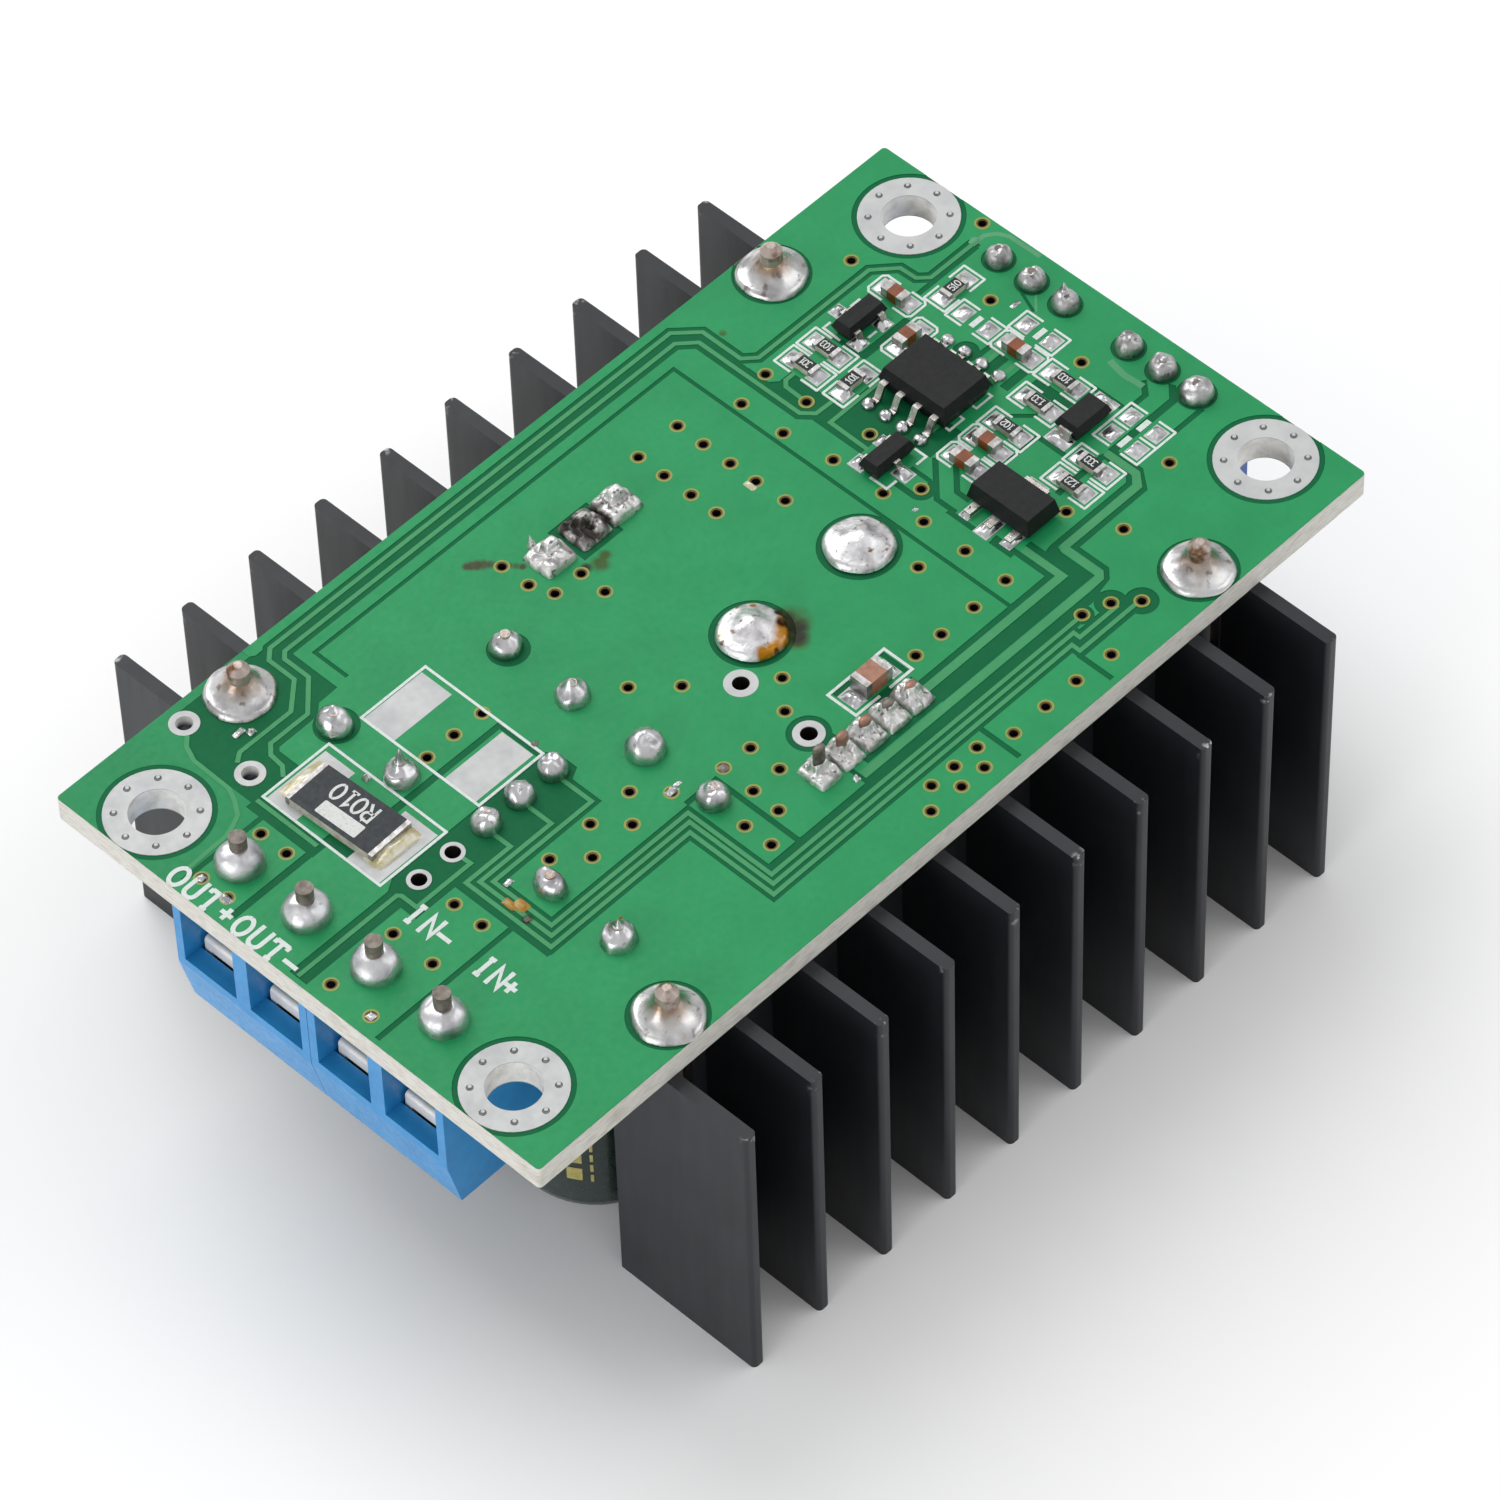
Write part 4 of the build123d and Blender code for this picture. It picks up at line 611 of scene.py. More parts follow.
RIGHT_GAPS = [
    [(17.45, -10.0), (23.15, -10.0), (24.1, -9.0), (24.1, -6.7), (29.2, -6.7), (30.0, -5.9), (30.2, -6.3),
     (29.35, -7.2), (24.4, -7.2), (24.4, -9.1), (23.4, -10.35), (17.8, -10.4), (17.8, -12.6),
     (17.2, -13.2), (16.2, -13.4), (16.0, -13.0), (17.0, -12.95), (17.45, -12.5)],
    rect(27.4, 29.9, -8.75, -8.4),
    [(27.2, -5.35), (28.4, -5.35), (29.1, -4.6), (29.4, -4.8), (28.6, -5.7), (27.2, -5.7)],
    [(14.7, 12.35), (15.0, 12.35), (15.0, 10.8), (15.45, 10.4), (16.4, 10.4), (16.4, 7.5), (15.2, 7.5),
     (14.7, 7.9)],
    [(14.6, 7.0), (16.4, 6.95), (16.4, 6.4), (19.6, 6.4), (19.6, 0.2), (17.0, 0.2), (17.0, 1.0),
     (16.4, 3.3), (14.6, 3.3)],
    rect(19.8, 23.7, 7.95, 8.5), rect(19.75, 20.1, 8.4, 10.6), rect(25.5, 30.4, 9.0, 9.35),
    rect(23.3, 25.3, 1.95, 2.6), rect(24.2, 25.3, 3.25, 3.6), rect(23.5, 25.4, 0.4, 1.0),
    disc(24.1, 4.15, 0.8), rect(19.75, 22.3, -3.3, -3.05), rect(22.0, 22.35, -5.2, -3.0),
    rect(26.75, 27.15, -5.2, -2.9), rect(19.8, 23.5, -7.05, -6.65),
    stroke([(22.2, -0.9), (23.3, -2.1)], 0.3), rect(24.6, 25.4, -3.0, -0.2),
    rect(14.65, 15.0, -5.2, -3.2), stroke([(15.6, -3.6), (15.6, -2.4), (17.6, -0.4)], 1.5),
    disc(15.0, -1.0, 0.85), rect(14.15, 15.9, -1.0, 0.5), stroke([(29.5, 4.9), (28.9, 3.4)], 0.2),
]
LAST_GAPS = [
    disc(16.0, -14.4, 0.95), disc(17.25, -15.55, 0.98), disc(14.3, -13.8, 0.7),
    rect(12.2, 17.0, -15.9, -15.0),
]


def draw_areas():
    paint("wide", [(-32.5, 18.6), (-18.6, 18.6), (-18.6, 17.8), (-25.6, 15.0), (-25.6, 9.4), (-32.5, 9.4)])
    paint("gap", *LEFT_GAPS, *MIDDLE_GAPS, *RIGHT_GAPS)
    paint("pour", stroke([(15.6, -3.7), (15.6, -2.4), (17.7, -0.3)], 0.8), rect(14.55, 15.6, -1.0, 0.6))
    paint("gap", *LAST_GAPS)


ROUTES = LAMP_TRIO + OUTER_PAIR + [
    EDGE_TRACE, [(-25.28, 5.6), (-25.28, 10.3)], [(19.6, 6.2), (15.15, 6.15), (15.1, 3.2)],
    [(-32.1, 0.0), (-24.75, 0.0), (-24.6, -0.2), (-24.6, -1.35), (-20.55, -1.35), (-20.6, -0.4)],
    [(16.5, 10.2), (15.75, 10.2), (15.4, 9.85), (15.35, 8.3)], [(23.4, 2.8), (25.3, 2.8)],
    [(23.4, 1.45), (25.3, 1.45)], [(17.4, 1.5), (19.6, 1.5)],
]


def draw_traces():
    for points, width in zip(LAMP_TRIO + OUTER_PAIR, (DARK, DARK, DARK, DARK, 0.95)):
        paint("gap", stroke(points, width))
    paint("trace", *(stroke(points, THIN) for points in ROUTES))
    paint("trace", *(stroke(points, BROAD) for points in SUPPLY_PAIR))
    paint("haze", stroke([(30.6, 9.55), (31.3, 9.45), (31.9, 9.0), (32.2, 8.3), (32.25, 6.0)], 0.3),
          disc(30.6, 9.6, 0.3), stroke([(29.05, -2.3), (28.8, -3.6), (28.9, -5.0)], 0.42),
          stroke([(29.0, 3.3), (29.6, 3.9), (30.2, 4.4)], 0.14))


# Pads of the shunt and of the filter capacitor, and of the small packages
WIDE_PADS = [
    rect(-17.4, -13.0, 7.75, 10.1), rect(-17.4, -13.0, 1.45, 3.85), rect(-24.8, -20.4, 7.7, 10.0),
    rect(-24.8, -20.4, 1.3, 3.8),
]
SMALL_PADS = [
    rect(22.35, 23.35, -5.0, -3.4), rect(26.1, 27.0, -5.0, -3.4), rect(20.0, 20.95, 8.6, 9.6),
    rect(22.0, 22.95, 8.6, 9.6), rect(21.0, 21.95, 11.2, 12.0), rect(13.55, 14.6, 2.3, 3.35),
    rect(15.6, 16.5, 2.3, 3.35), rect(14.65, 15.6, -0.1, 1.1), rect(14.65, 16.3, -6.25, -5.2),
    rect(15.0, 16.3, -4.5, -3.8), rect(15.0, 16.3, -7.7, -6.9), rect(18.6, 19.8, -6.3, -4.9),
    rect(1.05, 2.0, -9.3, -7.9), rect(4.0, 4.7, -9.3, -7.9),
]


# The next three draw on either side. A row of 1 is for paint(), which scales y itself
def draw_mounts(draw, row, dimples=0):
    reach = 2.33
    for x, y in MOUNTS:
        draw("gap", disc(x, y * row, MOUNT_GAP, MOUNT_POINTS))
        draw("pad", disc(x, y * row, MOUNT_PAD, MOUNT_POINTS))
        for index in range(dimples):
            turn = 2 * math.pi / dimples * index
            px, py = x + reach * math.cos(turn), y + reach * math.sin(turn) / ROW
            # Each dimple is a dark grey disc with a small pad-coloured disc set off to one side: painted
            # shade in the dimple and a painted highlight
            draw("groove", disc(px, py, 0.22, 16))
            draw("pad", disc(px + 0.07, py + 0.07, 0.11, 12))
        draw("hole", disc(x, y * row, MOUNT_BORE, MOUNT_POINTS))


def draw_bored_pads(draw, row):
    for holes, bore in ((SPARE_HOLES, PAD_BORE), (LAMP_HOLES, LAMP_BORE)):
        for x, y, outer in holes:
            draw("pad", disc(x, y * row, outer))
            draw("hole", disc(x, y * row, bore, HOLE_POINTS))


def draw_vias(draw, row, ring, rim):
    for x, y in VIAS + FILLED_VIAS:
        draw("ring", disc(x, y * row, ring, RING_POINTS))
        draw("rim", disc(x, y * row, rim, RING_POINTS))
        draw("hole", disc(x, y * row, VIA_BORE, VIA_POINTS))


def draw_pads():
    draw_mounts(paint, 1, dimples=8)
    paint("gap", *(disc(x, y, 2.32, 40) for x, y in SINK_JOINTS[1:]))
    paint("gap", *(disc(x, y, 2.42, 40) for x, y in COIL_JOINTS))
    paint("gap", disc(-18.75, 10.85, 1.32), disc(-8.65, 7.75, 1.24), disc(-1.85, -8.55, 1.28))
    paint("gap", *(disc(TRIMMER_X, y / ROW, radius + 0.2) for y, radius, _ in TRIMMER_JOINTS))
    draw_bored_pads(paint, 1)
    paint("pad", *WIDE_PADS)
    for x, y in CHIPS_UP:
        for middle in (y + CHIP_REACH, y - CHIP_REACH):
            paint("pad", rect(x - PAD_SIDE, x + PAD_SIDE, middle - PAD_END, middle + PAD_END))
    for x, y in CHIPS_FLAT:
        for middle in (x + CHIP_REACH, x - CHIP_REACH):
            paint("pad", rect(middle - PAD_END, middle + PAD_END, y - PAD_SIDE, y + PAD_SIDE))
    paint("pad", *SMALL_PADS)
    draw_vias(paint, 1, 0.47, 0.35)


def bracket(x, y, flat):
    """Two U shapes that hold a chip between them."""
    half_x, half_y, leg = 0.8, 1.67, 0.42
    cut = 0.22 if (x, y) in ROUND_BRACKETS else 0.02
    for side in (1, -1):
        points = [(half_x, leg), (half_x, half_y - cut), (half_x - cut, half_y), (cut - half_x, half_y),
                  (-half_x, half_y - cut), (-half_x, leg)]
        turned = [(x + side * v, y + side * u) if flat else (x + side * u, y + side * v) for u, v in points]
        paint("silk", stroke(turned, 0.15))


def frame_box(left, right, low, high, width=0.17):
    paint("silk", rect(left, right, high - width, high), rect(left, right, low, low + width),
          rect(left, left + width, low, high), rect(right - width, right, low, high))


# Lines round the small packages: points and width
SILK_LINES = [
    ([(2.65, -7.45), (0.78, -7.45), (0.78, -9.58), (2.65, -9.58)], 0.18),
    ([(4.5, -7.45), (5.22, -7.45), (5.22, -9.58), (3.45, -9.58)], 0.18),
]
PACKAGE_LINES = [
    ([(13.7, 1.7), (13.7, 0.42), (14.5, 0.42)], 0.16),
    ([(16.1, 0.42), (16.9, 0.42), (16.9, 1.3)], 0.16),
    ([(19.2, 1.1), (19.2, 0.8), (20.35, 0.8), (20.35, 1.1)], 0.14),
    ([(21.4, 1.1), (21.4, 0.8), (22.65, 0.8), (22.65, 1.1)], 0.14),
]
# Words at the terminals: start, height and advance
WORDS = [
    ("OUT+", (-32.5, 10.05), 1.5, 1.16), ("OUT-", (-32.5, 5.05), 1.5, 1.15),
    ("IN-", (-25.7, -1.4), 1.45, 0.98), ("IN+", (-25.7, -6.65), 1.45, 0.86),
]


def draw_silk():
    frame_box(-24.98, -19.85, 1.05, 10.3)
    frame_box(-17.55, -12.5, 1.05, 10.32)
    for x, y in CHIPS_UP:
        bracket(x, y, False)
    for x, y in CHIPS_FLAT:
        bracket(x, y, True)
    for x, y in BARS:
        paint("silk", rect(x - 0.47, x + 0.47, y - 0.18, y + 0.18))
    paint("silk", *(stroke(points, width) for points, width in SILK_LINES))
    paint("silk", stroke([(19.95, 10.0), (20.0, 11.35), (20.6, 11.35)], 0.16))
    paint("silk", rect(22.2, 23.0, 11.25, 11.42), rect(21.15, 21.85, 8.87, 9.03))
    paint("silk", *(stroke(points, width) for points, width in PACKAGE_LINES))
    for text, start, height, advance in WORDS:
        paint("silk", *lettering(text, start, DOWN, RIGHT, height, 0.27, advance))


# The parts' side: a ring round each lead and the outline of each part
LEADS = {"solder_terminals": 1.15, "solder_capacitors": 0.9, "solder_inductor": 1.6, "solder_trimmers": 0.8,
         "solder_indicator": 0.8, "solder_heatsinks": 1.6}
CAN_NODES = [f"capacitor_{place}" for place in ("input_inner", "input_outer", "output_inner", "output_outer")]
BLOCKS = ["terminal_housing_output", "terminal_housing_input", "trimmer_body_voltage", "trimmer_body_current",
          "inductor_winding", "diode_body", "regulator_body"]


def outline_box(name, room=0.35):
    low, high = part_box(name)
    return (low.x / MM - room, high.x / MM + room, low.y / MM - room, high.y / MM + room)


# Gaps between the copper areas of the parts' side: points and width
UNDER_GAPS = [
    ([(-22.3, 17.9), (-22.3, -17.9)], 0.4), ([(-13.6, 14.0), (-13.6, -14.0)], 0.4),
    ([(11.6, 17.9), (11.6, -17.9)], 0.4), ([(27.3, 10.0), (27.3, -10.0)], 0.4),
    ([(-22.3, 0.0), (11.6, 0.0)], 0.4), ([(11.6, 4.0), (27.3, 4.0)], 0.35),
]
UNDER_WORDS = [("OUT+", 11.5), ("OUT-", 5.5), ("IN-", -2.0), ("IN+", -8.0)]
UNDER_LINE = 0.18


def draw_outlines():
    """Rings round the cans and boxes round the larger parts, within the board's edges."""
    for name in CAN_NODES:
        left, right, low, high = outline_box(name, 0.2)
        x, y, radius = (left + right) / 2, (low + high) / 2, (right - left) / 2
        for start in (0, 180):
            paint_under("silk", stroke(arc(x, y, radius, radius, start, start + 180, 24), UNDER_LINE))
    for name in BLOCKS:
        left, right, low, high = outline_box(name)
        left, right = max(left, board_low.x / MM + 0.3), min(right, board_high.x / MM - 0.3)
        corners = rect(left, right, low, high)
        paint_under("silk", *(stroke([a, b], UNDER_LINE) for a, b in zip(corners, corners[1:] + corners[:1])))


def draw_underside():
    paint_under("gap", *(stroke(points, width) for points, width in UNDER_GAPS))
    draw_mounts(paint_under, ROW)
    for name, radius in LEADS.items():
        for x, y in LEAD_PLACES[name]:
            paint_under("gap", disc(x, y, radius + 0.3))
            paint_under("pad", disc(x, y, radius))
    draw_bored_pads(paint_under, ROW)
    draw_vias(paint_under, ROW, 0.42, 0.33)
    draw_outlines()
    for text, y in UNDER_WORDS:
        paint_under("silk", *lettering(text, (-22.9, y), DOWN, LEFT, 1.2, UNDER_LINE))


# The paint of each kind of area, and the pieces that the kinds make with their slots
PAINT_OF = {"gap": "mask_gap", "wide": "mask_wide", "pour": "mask_pour", "trace": "mask_trace",
            "haze": "mask_haze", "groove": "dimple_shade", "rim": "via_rim", "ring": "via_ring",
            "pad": "tin_pad", "silk": "silk"}
LAYERS = {"mask": (("pour", "gap", "wide", "trace", "haze"), "board"), "pads": (("pad", "groove"), "solder"),
          "via_rings": (("ring", "rim"), "brass"), "silkscreen": (("silk",), "board")}


def board_outline(inset):
    half_x, half_y = board_high.x / MM - inset, board_high.y / MM - inset
    corner = 0.25
    points = []
    for sx, sy, start in ((1, 1, 0), (-1, 1, 90), (-1, -1, 180), (1, -1, 270)):
        points += arc(sx * (half_x - corner), sy * (half_y - corner), corner, corner, start, start + 90, 5)
    return points


def cut(outline, polygons):
    """Cuts an outline along polygons into triangles, each with the polygons that hold it."""
    points, faces = [], []
    for polygon in [outline] + polygons:
        faces.append(list(range(len(points), len(points) + len(polygon))))
        points += [Vector(p) for p in polygon]
    verts, _, triangles, _, _, owners = delaunay_2d_cdt(points, [], faces, 1, 1e-4)
    return verts, [(triangle, own) for triangle, own in zip(triangles, owners) if 0 in own]


class Layer:
    """The areas of a group of kinds on one side, raised to their levels, with walls down to lower ones."""

    def __init__(self, verts, level_at, base, up, group):
        self.verts, self.level_at, self.base, self.up, self.group = verts, level_at, base, up, group
        self.known, self.points, self.faces, self.tints = {}, [], [], []

    def corner(self, index, z):
        if (index, z) not in self.known:
            self.known[(index, z)] = len(self.points)
            vert = self.verts[index]
            self.points.append((vert.x, vert.y, self.base + self.up * z))
        return self.known[(index, z)]

    def face(self, corners, kind):
        corners = [self.corner(index, z) for index, z in corners]
        self.faces.append(corners if self.up > 0 else corners[::-1])
        self.tints.append(self.group.index(kind))

    def add(self, triangle, kind):
        z = LEVELS[kind]
        self.face([(i, z) for i in triangle], kind)
        for a, b in zip(triangle, triangle[1:] + triangle[:1]):
            other = self.level_at.get((b, a), 0.0)
            if other < z:
                self.face([(b, z), (a, z), (a, other), (b, other)], kind)


def make_side(side, base, up):
    kinds = ["pour"] + [kind for kind, _ in ART[side]]
    verts, found = cut(ccw(board_outline(0.02)), [polygon for _, polygon in ART[side]])
    kept = [(triangle, kinds[max(own)]) for triangle, own in found if kinds[max(own)] != "hole"]
    level_at = {(tri[i], tri[(i + 1) % 3]): LEVELS[kind] for tri, kind in kept for i in range(3)}
    for name, (group, slot) in LAYERS.items():
        layer = Layer(verts, level_at, base, up, group)
        for triangle, kind in kept:
            if kind in group:
                layer.add(triangle, kind)
        piece(f"{side}_side_{name}", layer, [PAINT_OF[kind] for kind in group])


def bores():
    """Every drilled hole that stays open: place, radius, points round it and whether its wall is painted near
    black as shade.
    """
    found = [(x, y * ROW, MOUNT_BORE, MOUNT_POINTS, False) for x, y in MOUNTS]
    found += [(x, y * ROW, PAD_BORE, HOLE_POINTS, x > -3) for x, y, _ in SPARE_HOLES]
    found += [(x, y * ROW, LAMP_BORE, HOLE_POINTS, True) for x, y, _ in LAMP_HOLES]
    return found + [(x, y * ROW, VIA_BORE, VIA_POINTS, True) for x, y in VIAS + FILLED_VIAS]


WALL = 0.03


def make_board():
    """The drilled board, with the same outline and thickness as its node."""
    holes = [disc(x, y, radius + WALL, count) for x, y, radius, count, _ in bores()]
    verts, found = cut(ccw(board_outline(0.0)), holes)
    kept = [triangle for triangle, own in found if max(own) == 0]
    count = len(verts)
    points = [(v.x, v.y, 0.0) for v in verts] + [(v.x, v.y, UNDER) for v in verts]
    edges = {(tri[i], tri[(i + 1) % 3]) for tri in kept for i in range(3)}
    faces = kept + [[count + i for i in tri[::-1]] for tri in kept]
    faces += [[b, a, count + a, count + b] for a, b in edges if (b, a) not in edges]
    used = sorted({i for face in faces for i in face})
    fresh = {old: new for new, old in enumerate(used)}
    board = Heap()
    board.add([points[i] for i in used], [[fresh[i] for i in face] for face in faces])
    piece("board_laminate", board, "laminate", replaced=["circuit_board"])


def make_barrels():
    """The plated walls of the board's holes, those of the narrow holes painted near black as shade."""
    heap = Heap()
    for x, y, radius, count, dark in bores():
        outer = radius + WALL
        profile = ((radius, UNDER), (radius, 0.0), (outer, 0.0), (outer, UNDER), (radius, UNDER))
        heap.wind([[(px, py, z) for px, py in disc(x, y, r, count)] for r, z in profile], tint=int(dark))
    piece("plated_barrels", heap, ["barrel", "bore_shade"])


# Solder
def wobble(x, y, seed, scale):
    return noise.noise(Vector((x * scale + seed * 7.3, y * scale - seed * 3.1, seed * 1.7)))


# Solder begins just inside its pad
SEAT = LEVELS["pad"] - 0.01


# Profiles of joints: how far out and how high a ring lies, from the rim to the top
def dome(share):
    return math.cos(math.pi * share / 2) ** 0.8, math.sin(math.pi * share / 2) ** 0.9


def cone(share):
    return 1 - share, 0.22 * min(1, share * 7) ** 0.5 + 0.78 * share ** 1.7


def tent(share):
    return 1 - share, 0.38 * min(1, share * 5) ** 0.5 + 0.62 * share ** 1.3


def button(share):
    return 1 - share, 0.27 * min(1, share * 9) ** 0.5 + 0.73 * math.exp(-((1 - share) / 0.67) ** 2)


def joint(heap, x, y, radius, height, seed, shape=dome, lead=0.0, squash=(1, 1), lean=(0, 0), rough=0.06,
          rings=18, count=40, spike=None):
    """A mound of solder round its lead. A spike, given as x, y, width and height, is drawn out of its top."""
    found = []
    for ring in range(rings + 1):
        reach, rise = shape(ring / rings)
        row = []
        for index in range(count):
            turn = 2 * math.pi * index / count
            edge = 1 + rough * wobble(math.cos(turn), math.sin(turn), seed, 1.3)
            out = lead + (radius * edge - lead) * reach
            px = math.cos(turn) * out * squash[0] + lean[0] * rise
            py = math.sin(turn) * out * squash[1] + lean[1] * rise
            lump = wobble(px, py, seed, 0.9 / radius) * 1.6 + wobble(px, py, seed + 5, 2.4 / radius) * 0.8
            z = height * rise * (1 + rough * 2.2 * lump)
            if spike:
                z += spike[3] * math.exp(-((px - spike[0]) ** 2 + (py - spike[1]) ** 2) / spike[2] ** 2)
            row.append((x + px, y + py, SEAT + z))
        found.append(row)
    heap.wind(found)
    top = found[-1]
    middle = tuple(sum(point[axis] for point in top) / count for axis in (0, 1, 2))
    heap.add(top + [middle], [[i, (i + 1) % count, count] for i in range(count)])


def mound(heap, x, y, width, length, height, seed, peak=(0, 0), rough=0.08, steps=16, power=0.45, keep=0.45,
          spike=None, tint=0):
    """A lumpy pad-shaped mound, highest at its peak, which is given as shares of its half size."""
    rows = []
    for i in range(steps + 1):
        row = []
        for j in range(steps + 1):
            u, v = 2 * i / steps - 1, 2 * j / steps - 1
            round_u = u * math.sqrt(1 - 0.12 * v * v)
            round_v = v * math.sqrt(1 - 0.12 * u * u)
            away = max(0, (1 - abs(u) ** 2.5) * (1 - abs(v) ** 2.5)) ** power
            lean = max(0.15, 1 - (1 - keep) * math.hypot(u - peak[0], v - peak[1]))
            lump = 1 + wobble(u, v, seed, 1.3) * rough * 6 + wobble(u, v, seed + 9, 3.2) * rough * 3
            z = SEAT + height * away * lean * max(lump, 0.25)
            px, py = round_u * width / 2, round_v * length / 2
            if spike:
                near = math.exp(-(((px - spike[0]) / 0.62) ** 6 + ((py - spike[1]) / 0.44) ** 6))
                z = max(z, spike[2] * near)
            row.append((x + px, y + py, z))
        rows.append(row)
    heap.wind(rows, closed=False, tint=tint)


def flip(heap):
    heap.faces = [face[::-1] for face in heap.faces]
    return heap


TERMINAL_YS = (7.69, 2.61, -2.61, -7.69)
TRIMMER_X = 30.485
# Place, radius, height, shape, squash and spike of each capacitor joint
CAN_JOINTS = [
    (-18.85, 10.74, 1.0, 1.2, dome, (1.0, 1.05), (0.15, 0.15, 0.3, 0.25)),
    (-18.85, 5.66, 1.05, 1.35, tent, (1.0, 1.0), (0.1, 0.1, 0.22, 0.8)),
    (-18.85, -5.66, 0.98, 1.15, dome, (0.85, 1.1), (0.05, 0.2, 0.3, 0.15)),
    (-18.85, -10.74, 1.05, 1.45, tent, (1.05, 0.95), (0.1, 0.1, 0.24, 0.2)),
    (-8.65, 7.84, 0.95, 1.0, dome, (1.0, 1.0), (0.0, 0.0, 0.4, 0.2)),
    (-8.65, 2.76, 1.05, 1.45, tent, (1.0, 0.95), (-0.15, 0.15, 0.24, 0.3)),
    (-8.65, -2.76, 1.16, 1.2, dome, (1.05, 1.0), (0.1, 0.1, 0.4, 0.1)),
    (-8.65, -7.84, 0.98, 1.1, dome, (0.95, 1.0), (-0.15, 0.15, 0.26, 0.3)),
]
TRIMMER_JOINTS = [(7.485, 0.82, None), (4.945, 0.84, None), (2.405, 0.84, (0.1, 0.2, 0.2, 0.7)),
                  (-2.405, 0.84, None), (-4.945, 0.84, None), (-7.485, 1.0, None)]
LAMP_XS = (-18.12, -15.58, -13.04)
# Where the leads come through the board
LEAD_PLACES = {
    "solder_terminals": [(-28.9, y) for y in TERMINAL_YS],
    "solder_heatsinks": [(x, y * ROW) for x, y in SINK_JOINTS],
    "solder_inductor": [(1.13, -1.35), (9.63, -1.35)],
    "solder_capacitors": [(x, y) for x, y, *_ in CAN_JOINTS],
    "solder_trimmers": [(TRIMMER_X, y) for y, *_ in TRIMMER_JOINTS],
    "solder_indicator": [(x, -0.1) for x in LAMP_XS],
}
# The regulator's leads: x, height of the tip and paint
LEAD_PAINTS = ["oxidised_pin", "copper_tip"]
LEAD_TIPS = [(-3.47, 2.25, 0), (-1.67, 1.75, 1), (0.13, 1.5, 1), (1.93, 1.3, 0), (3.73, 1.22, 1)]
# The diode's joints: x, x of the lead and roughness
DIODE_JOINTS = [(-2.48, -2.22, 0.1), (0.24, 0.32, 0.15), (2.66, 2.86, 0.1)]


def joint_piece(name, node, tint, seed, rows, **form):
    """Joints in one piece. A row holds x, y, radius, height and what differs from the form."""
    heap = Heap()
    for index, (x, y, radius, height, own) in enumerate(rows):
        joint(heap, x, y, radius, height, seed + index, **(form | own))
    piece(name, heap, tint, True, [node])


def even_rows(node, radius, height):
    return [(x, y, radius, height, {}) for x, y in LEAD_PLACES[node]]


def round_joints():
    rows = even_rows("solder_terminals", 1.4, 1.42)
    joint_piece("terminal_joints", "solder_terminals", "solder_smooth", 1, rows,
                lean=(-0.05, -0.05), rough=0.045, rings=22)
    rows = even_rows("solder_heatsinks", 2.08, 1.3)
    joint_piece("heatsink_joints", "solder_heatsinks", "sink_solder", 11, rows,
                shape=cone, lead=0.62, rough=0.07, rings=26, count=56)
    rows = even_rows("solder_inductor", 2.05, 1.16)
    joint_piece("inductor_joints", "solder_inductor", "coil_solder", 21, rows,
                shape=button, rough=0.05, rings=26, count=56)
    rows = [(x, y, radius, height, {"shape": shape, "squash": squash, "spike": spike})
            for x, y, radius, height, shape, squash, spike in CAN_JOINTS]
    joint_piece("capacitor_joints", "solder_capacitors", "solder", 31, rows, rough=0.065)
    rows = [(TRIMMER_X, y, radius, 1.02, {"spike": spike}) for y, radius, spike in TRIMMER_JOINTS]
    joint_piece("trimmer_joints", "solder_trimmers", "solder_grey", 41, rows, rough=0.075)
    rows = even_rows("solder_indicator", 0.88, 1.03)
    joint_piece("lamp_joints", "solder_indicator", "solder", 51, rows, rough=0.07)


def package_joints():
    heap = Heap()
    for seed, (x, lead, rough) in enumerate(DIODE_JOINTS, 61):
        mound(heap, x, 10.55, 2.35, 2.3, 0.85, seed, rough=rough, steps=34, power=0.3, keep=0.75,
              spike=(lead - x, 0.2, 1.22))
    piece("diode_joints", flip(heap), "solder_dull", True, ["solder_diode"])
    heap = Heap()
    for seed, (x, _, _) in enumerate(LEAD_TIPS, 71):
        mound(heap, x, -10.8, 1.7, 2.1, 0.9, seed, rough=0.1, steps=30, power=0.32, keep=0.7,
              spike=(0.0, 0.05, 1.2))
    piece("regulator_joints", flip(heap), "solder_dull", True, ["solder_regulator"])
    heap = Heap()
    for x, tip, tint in LEAD_TIPS:
        profile = ((1.05, 0.9), (1.0, tip - 0.12), (0.85, tip), (0.3, tip + 0.03))
        oval = [(0.42 * u, 0.27 * v) for u, v in disc(0, 0, 1, 16)]
        rings = [[(x + u * r, -10.75 + v * r, z) for u, v in oval] for r, z in profile]
        heap.wind(rings, caps=True, tint=tint)
    piece("regulator_lead_tips", heap, LEAD_PAINTS, True)


# Solder at the small packages: x, y, width, length and height
CHIP_MOUNDS = [
    (22.8, -4.25, 0.9, 1.5, 0.4), (26.6, -4.25, 0.75, 1.5, 0.4), (20.5, 9.05, 0.9, 0.85, 0.35),
    (22.45, 9.05, 0.9, 0.85, 0.35), (21.5, 11.65, 0.8, 0.7, 0.3), (14.1, 2.85, 0.9, 0.9, 0.3),
    (16.05, 2.95, 0.85, 0.8, 0.3), (15.15, 0.5, 0.85, 1.0, 0.4), (15.6, -4.15, 1.2, 0.6, 0.35),
    (15.45, -5.72, 1.5, 0.95, 0.4), (15.6, -7.3, 1.2, 0.75, 0.35), (19.4, -5.6, 0.7, 1.3, 0.35),
    (1.5, -8.62, 0.85, 1.25, 0.4), (4.35, -8.62, 0.6, 1.25, 0.45),
]


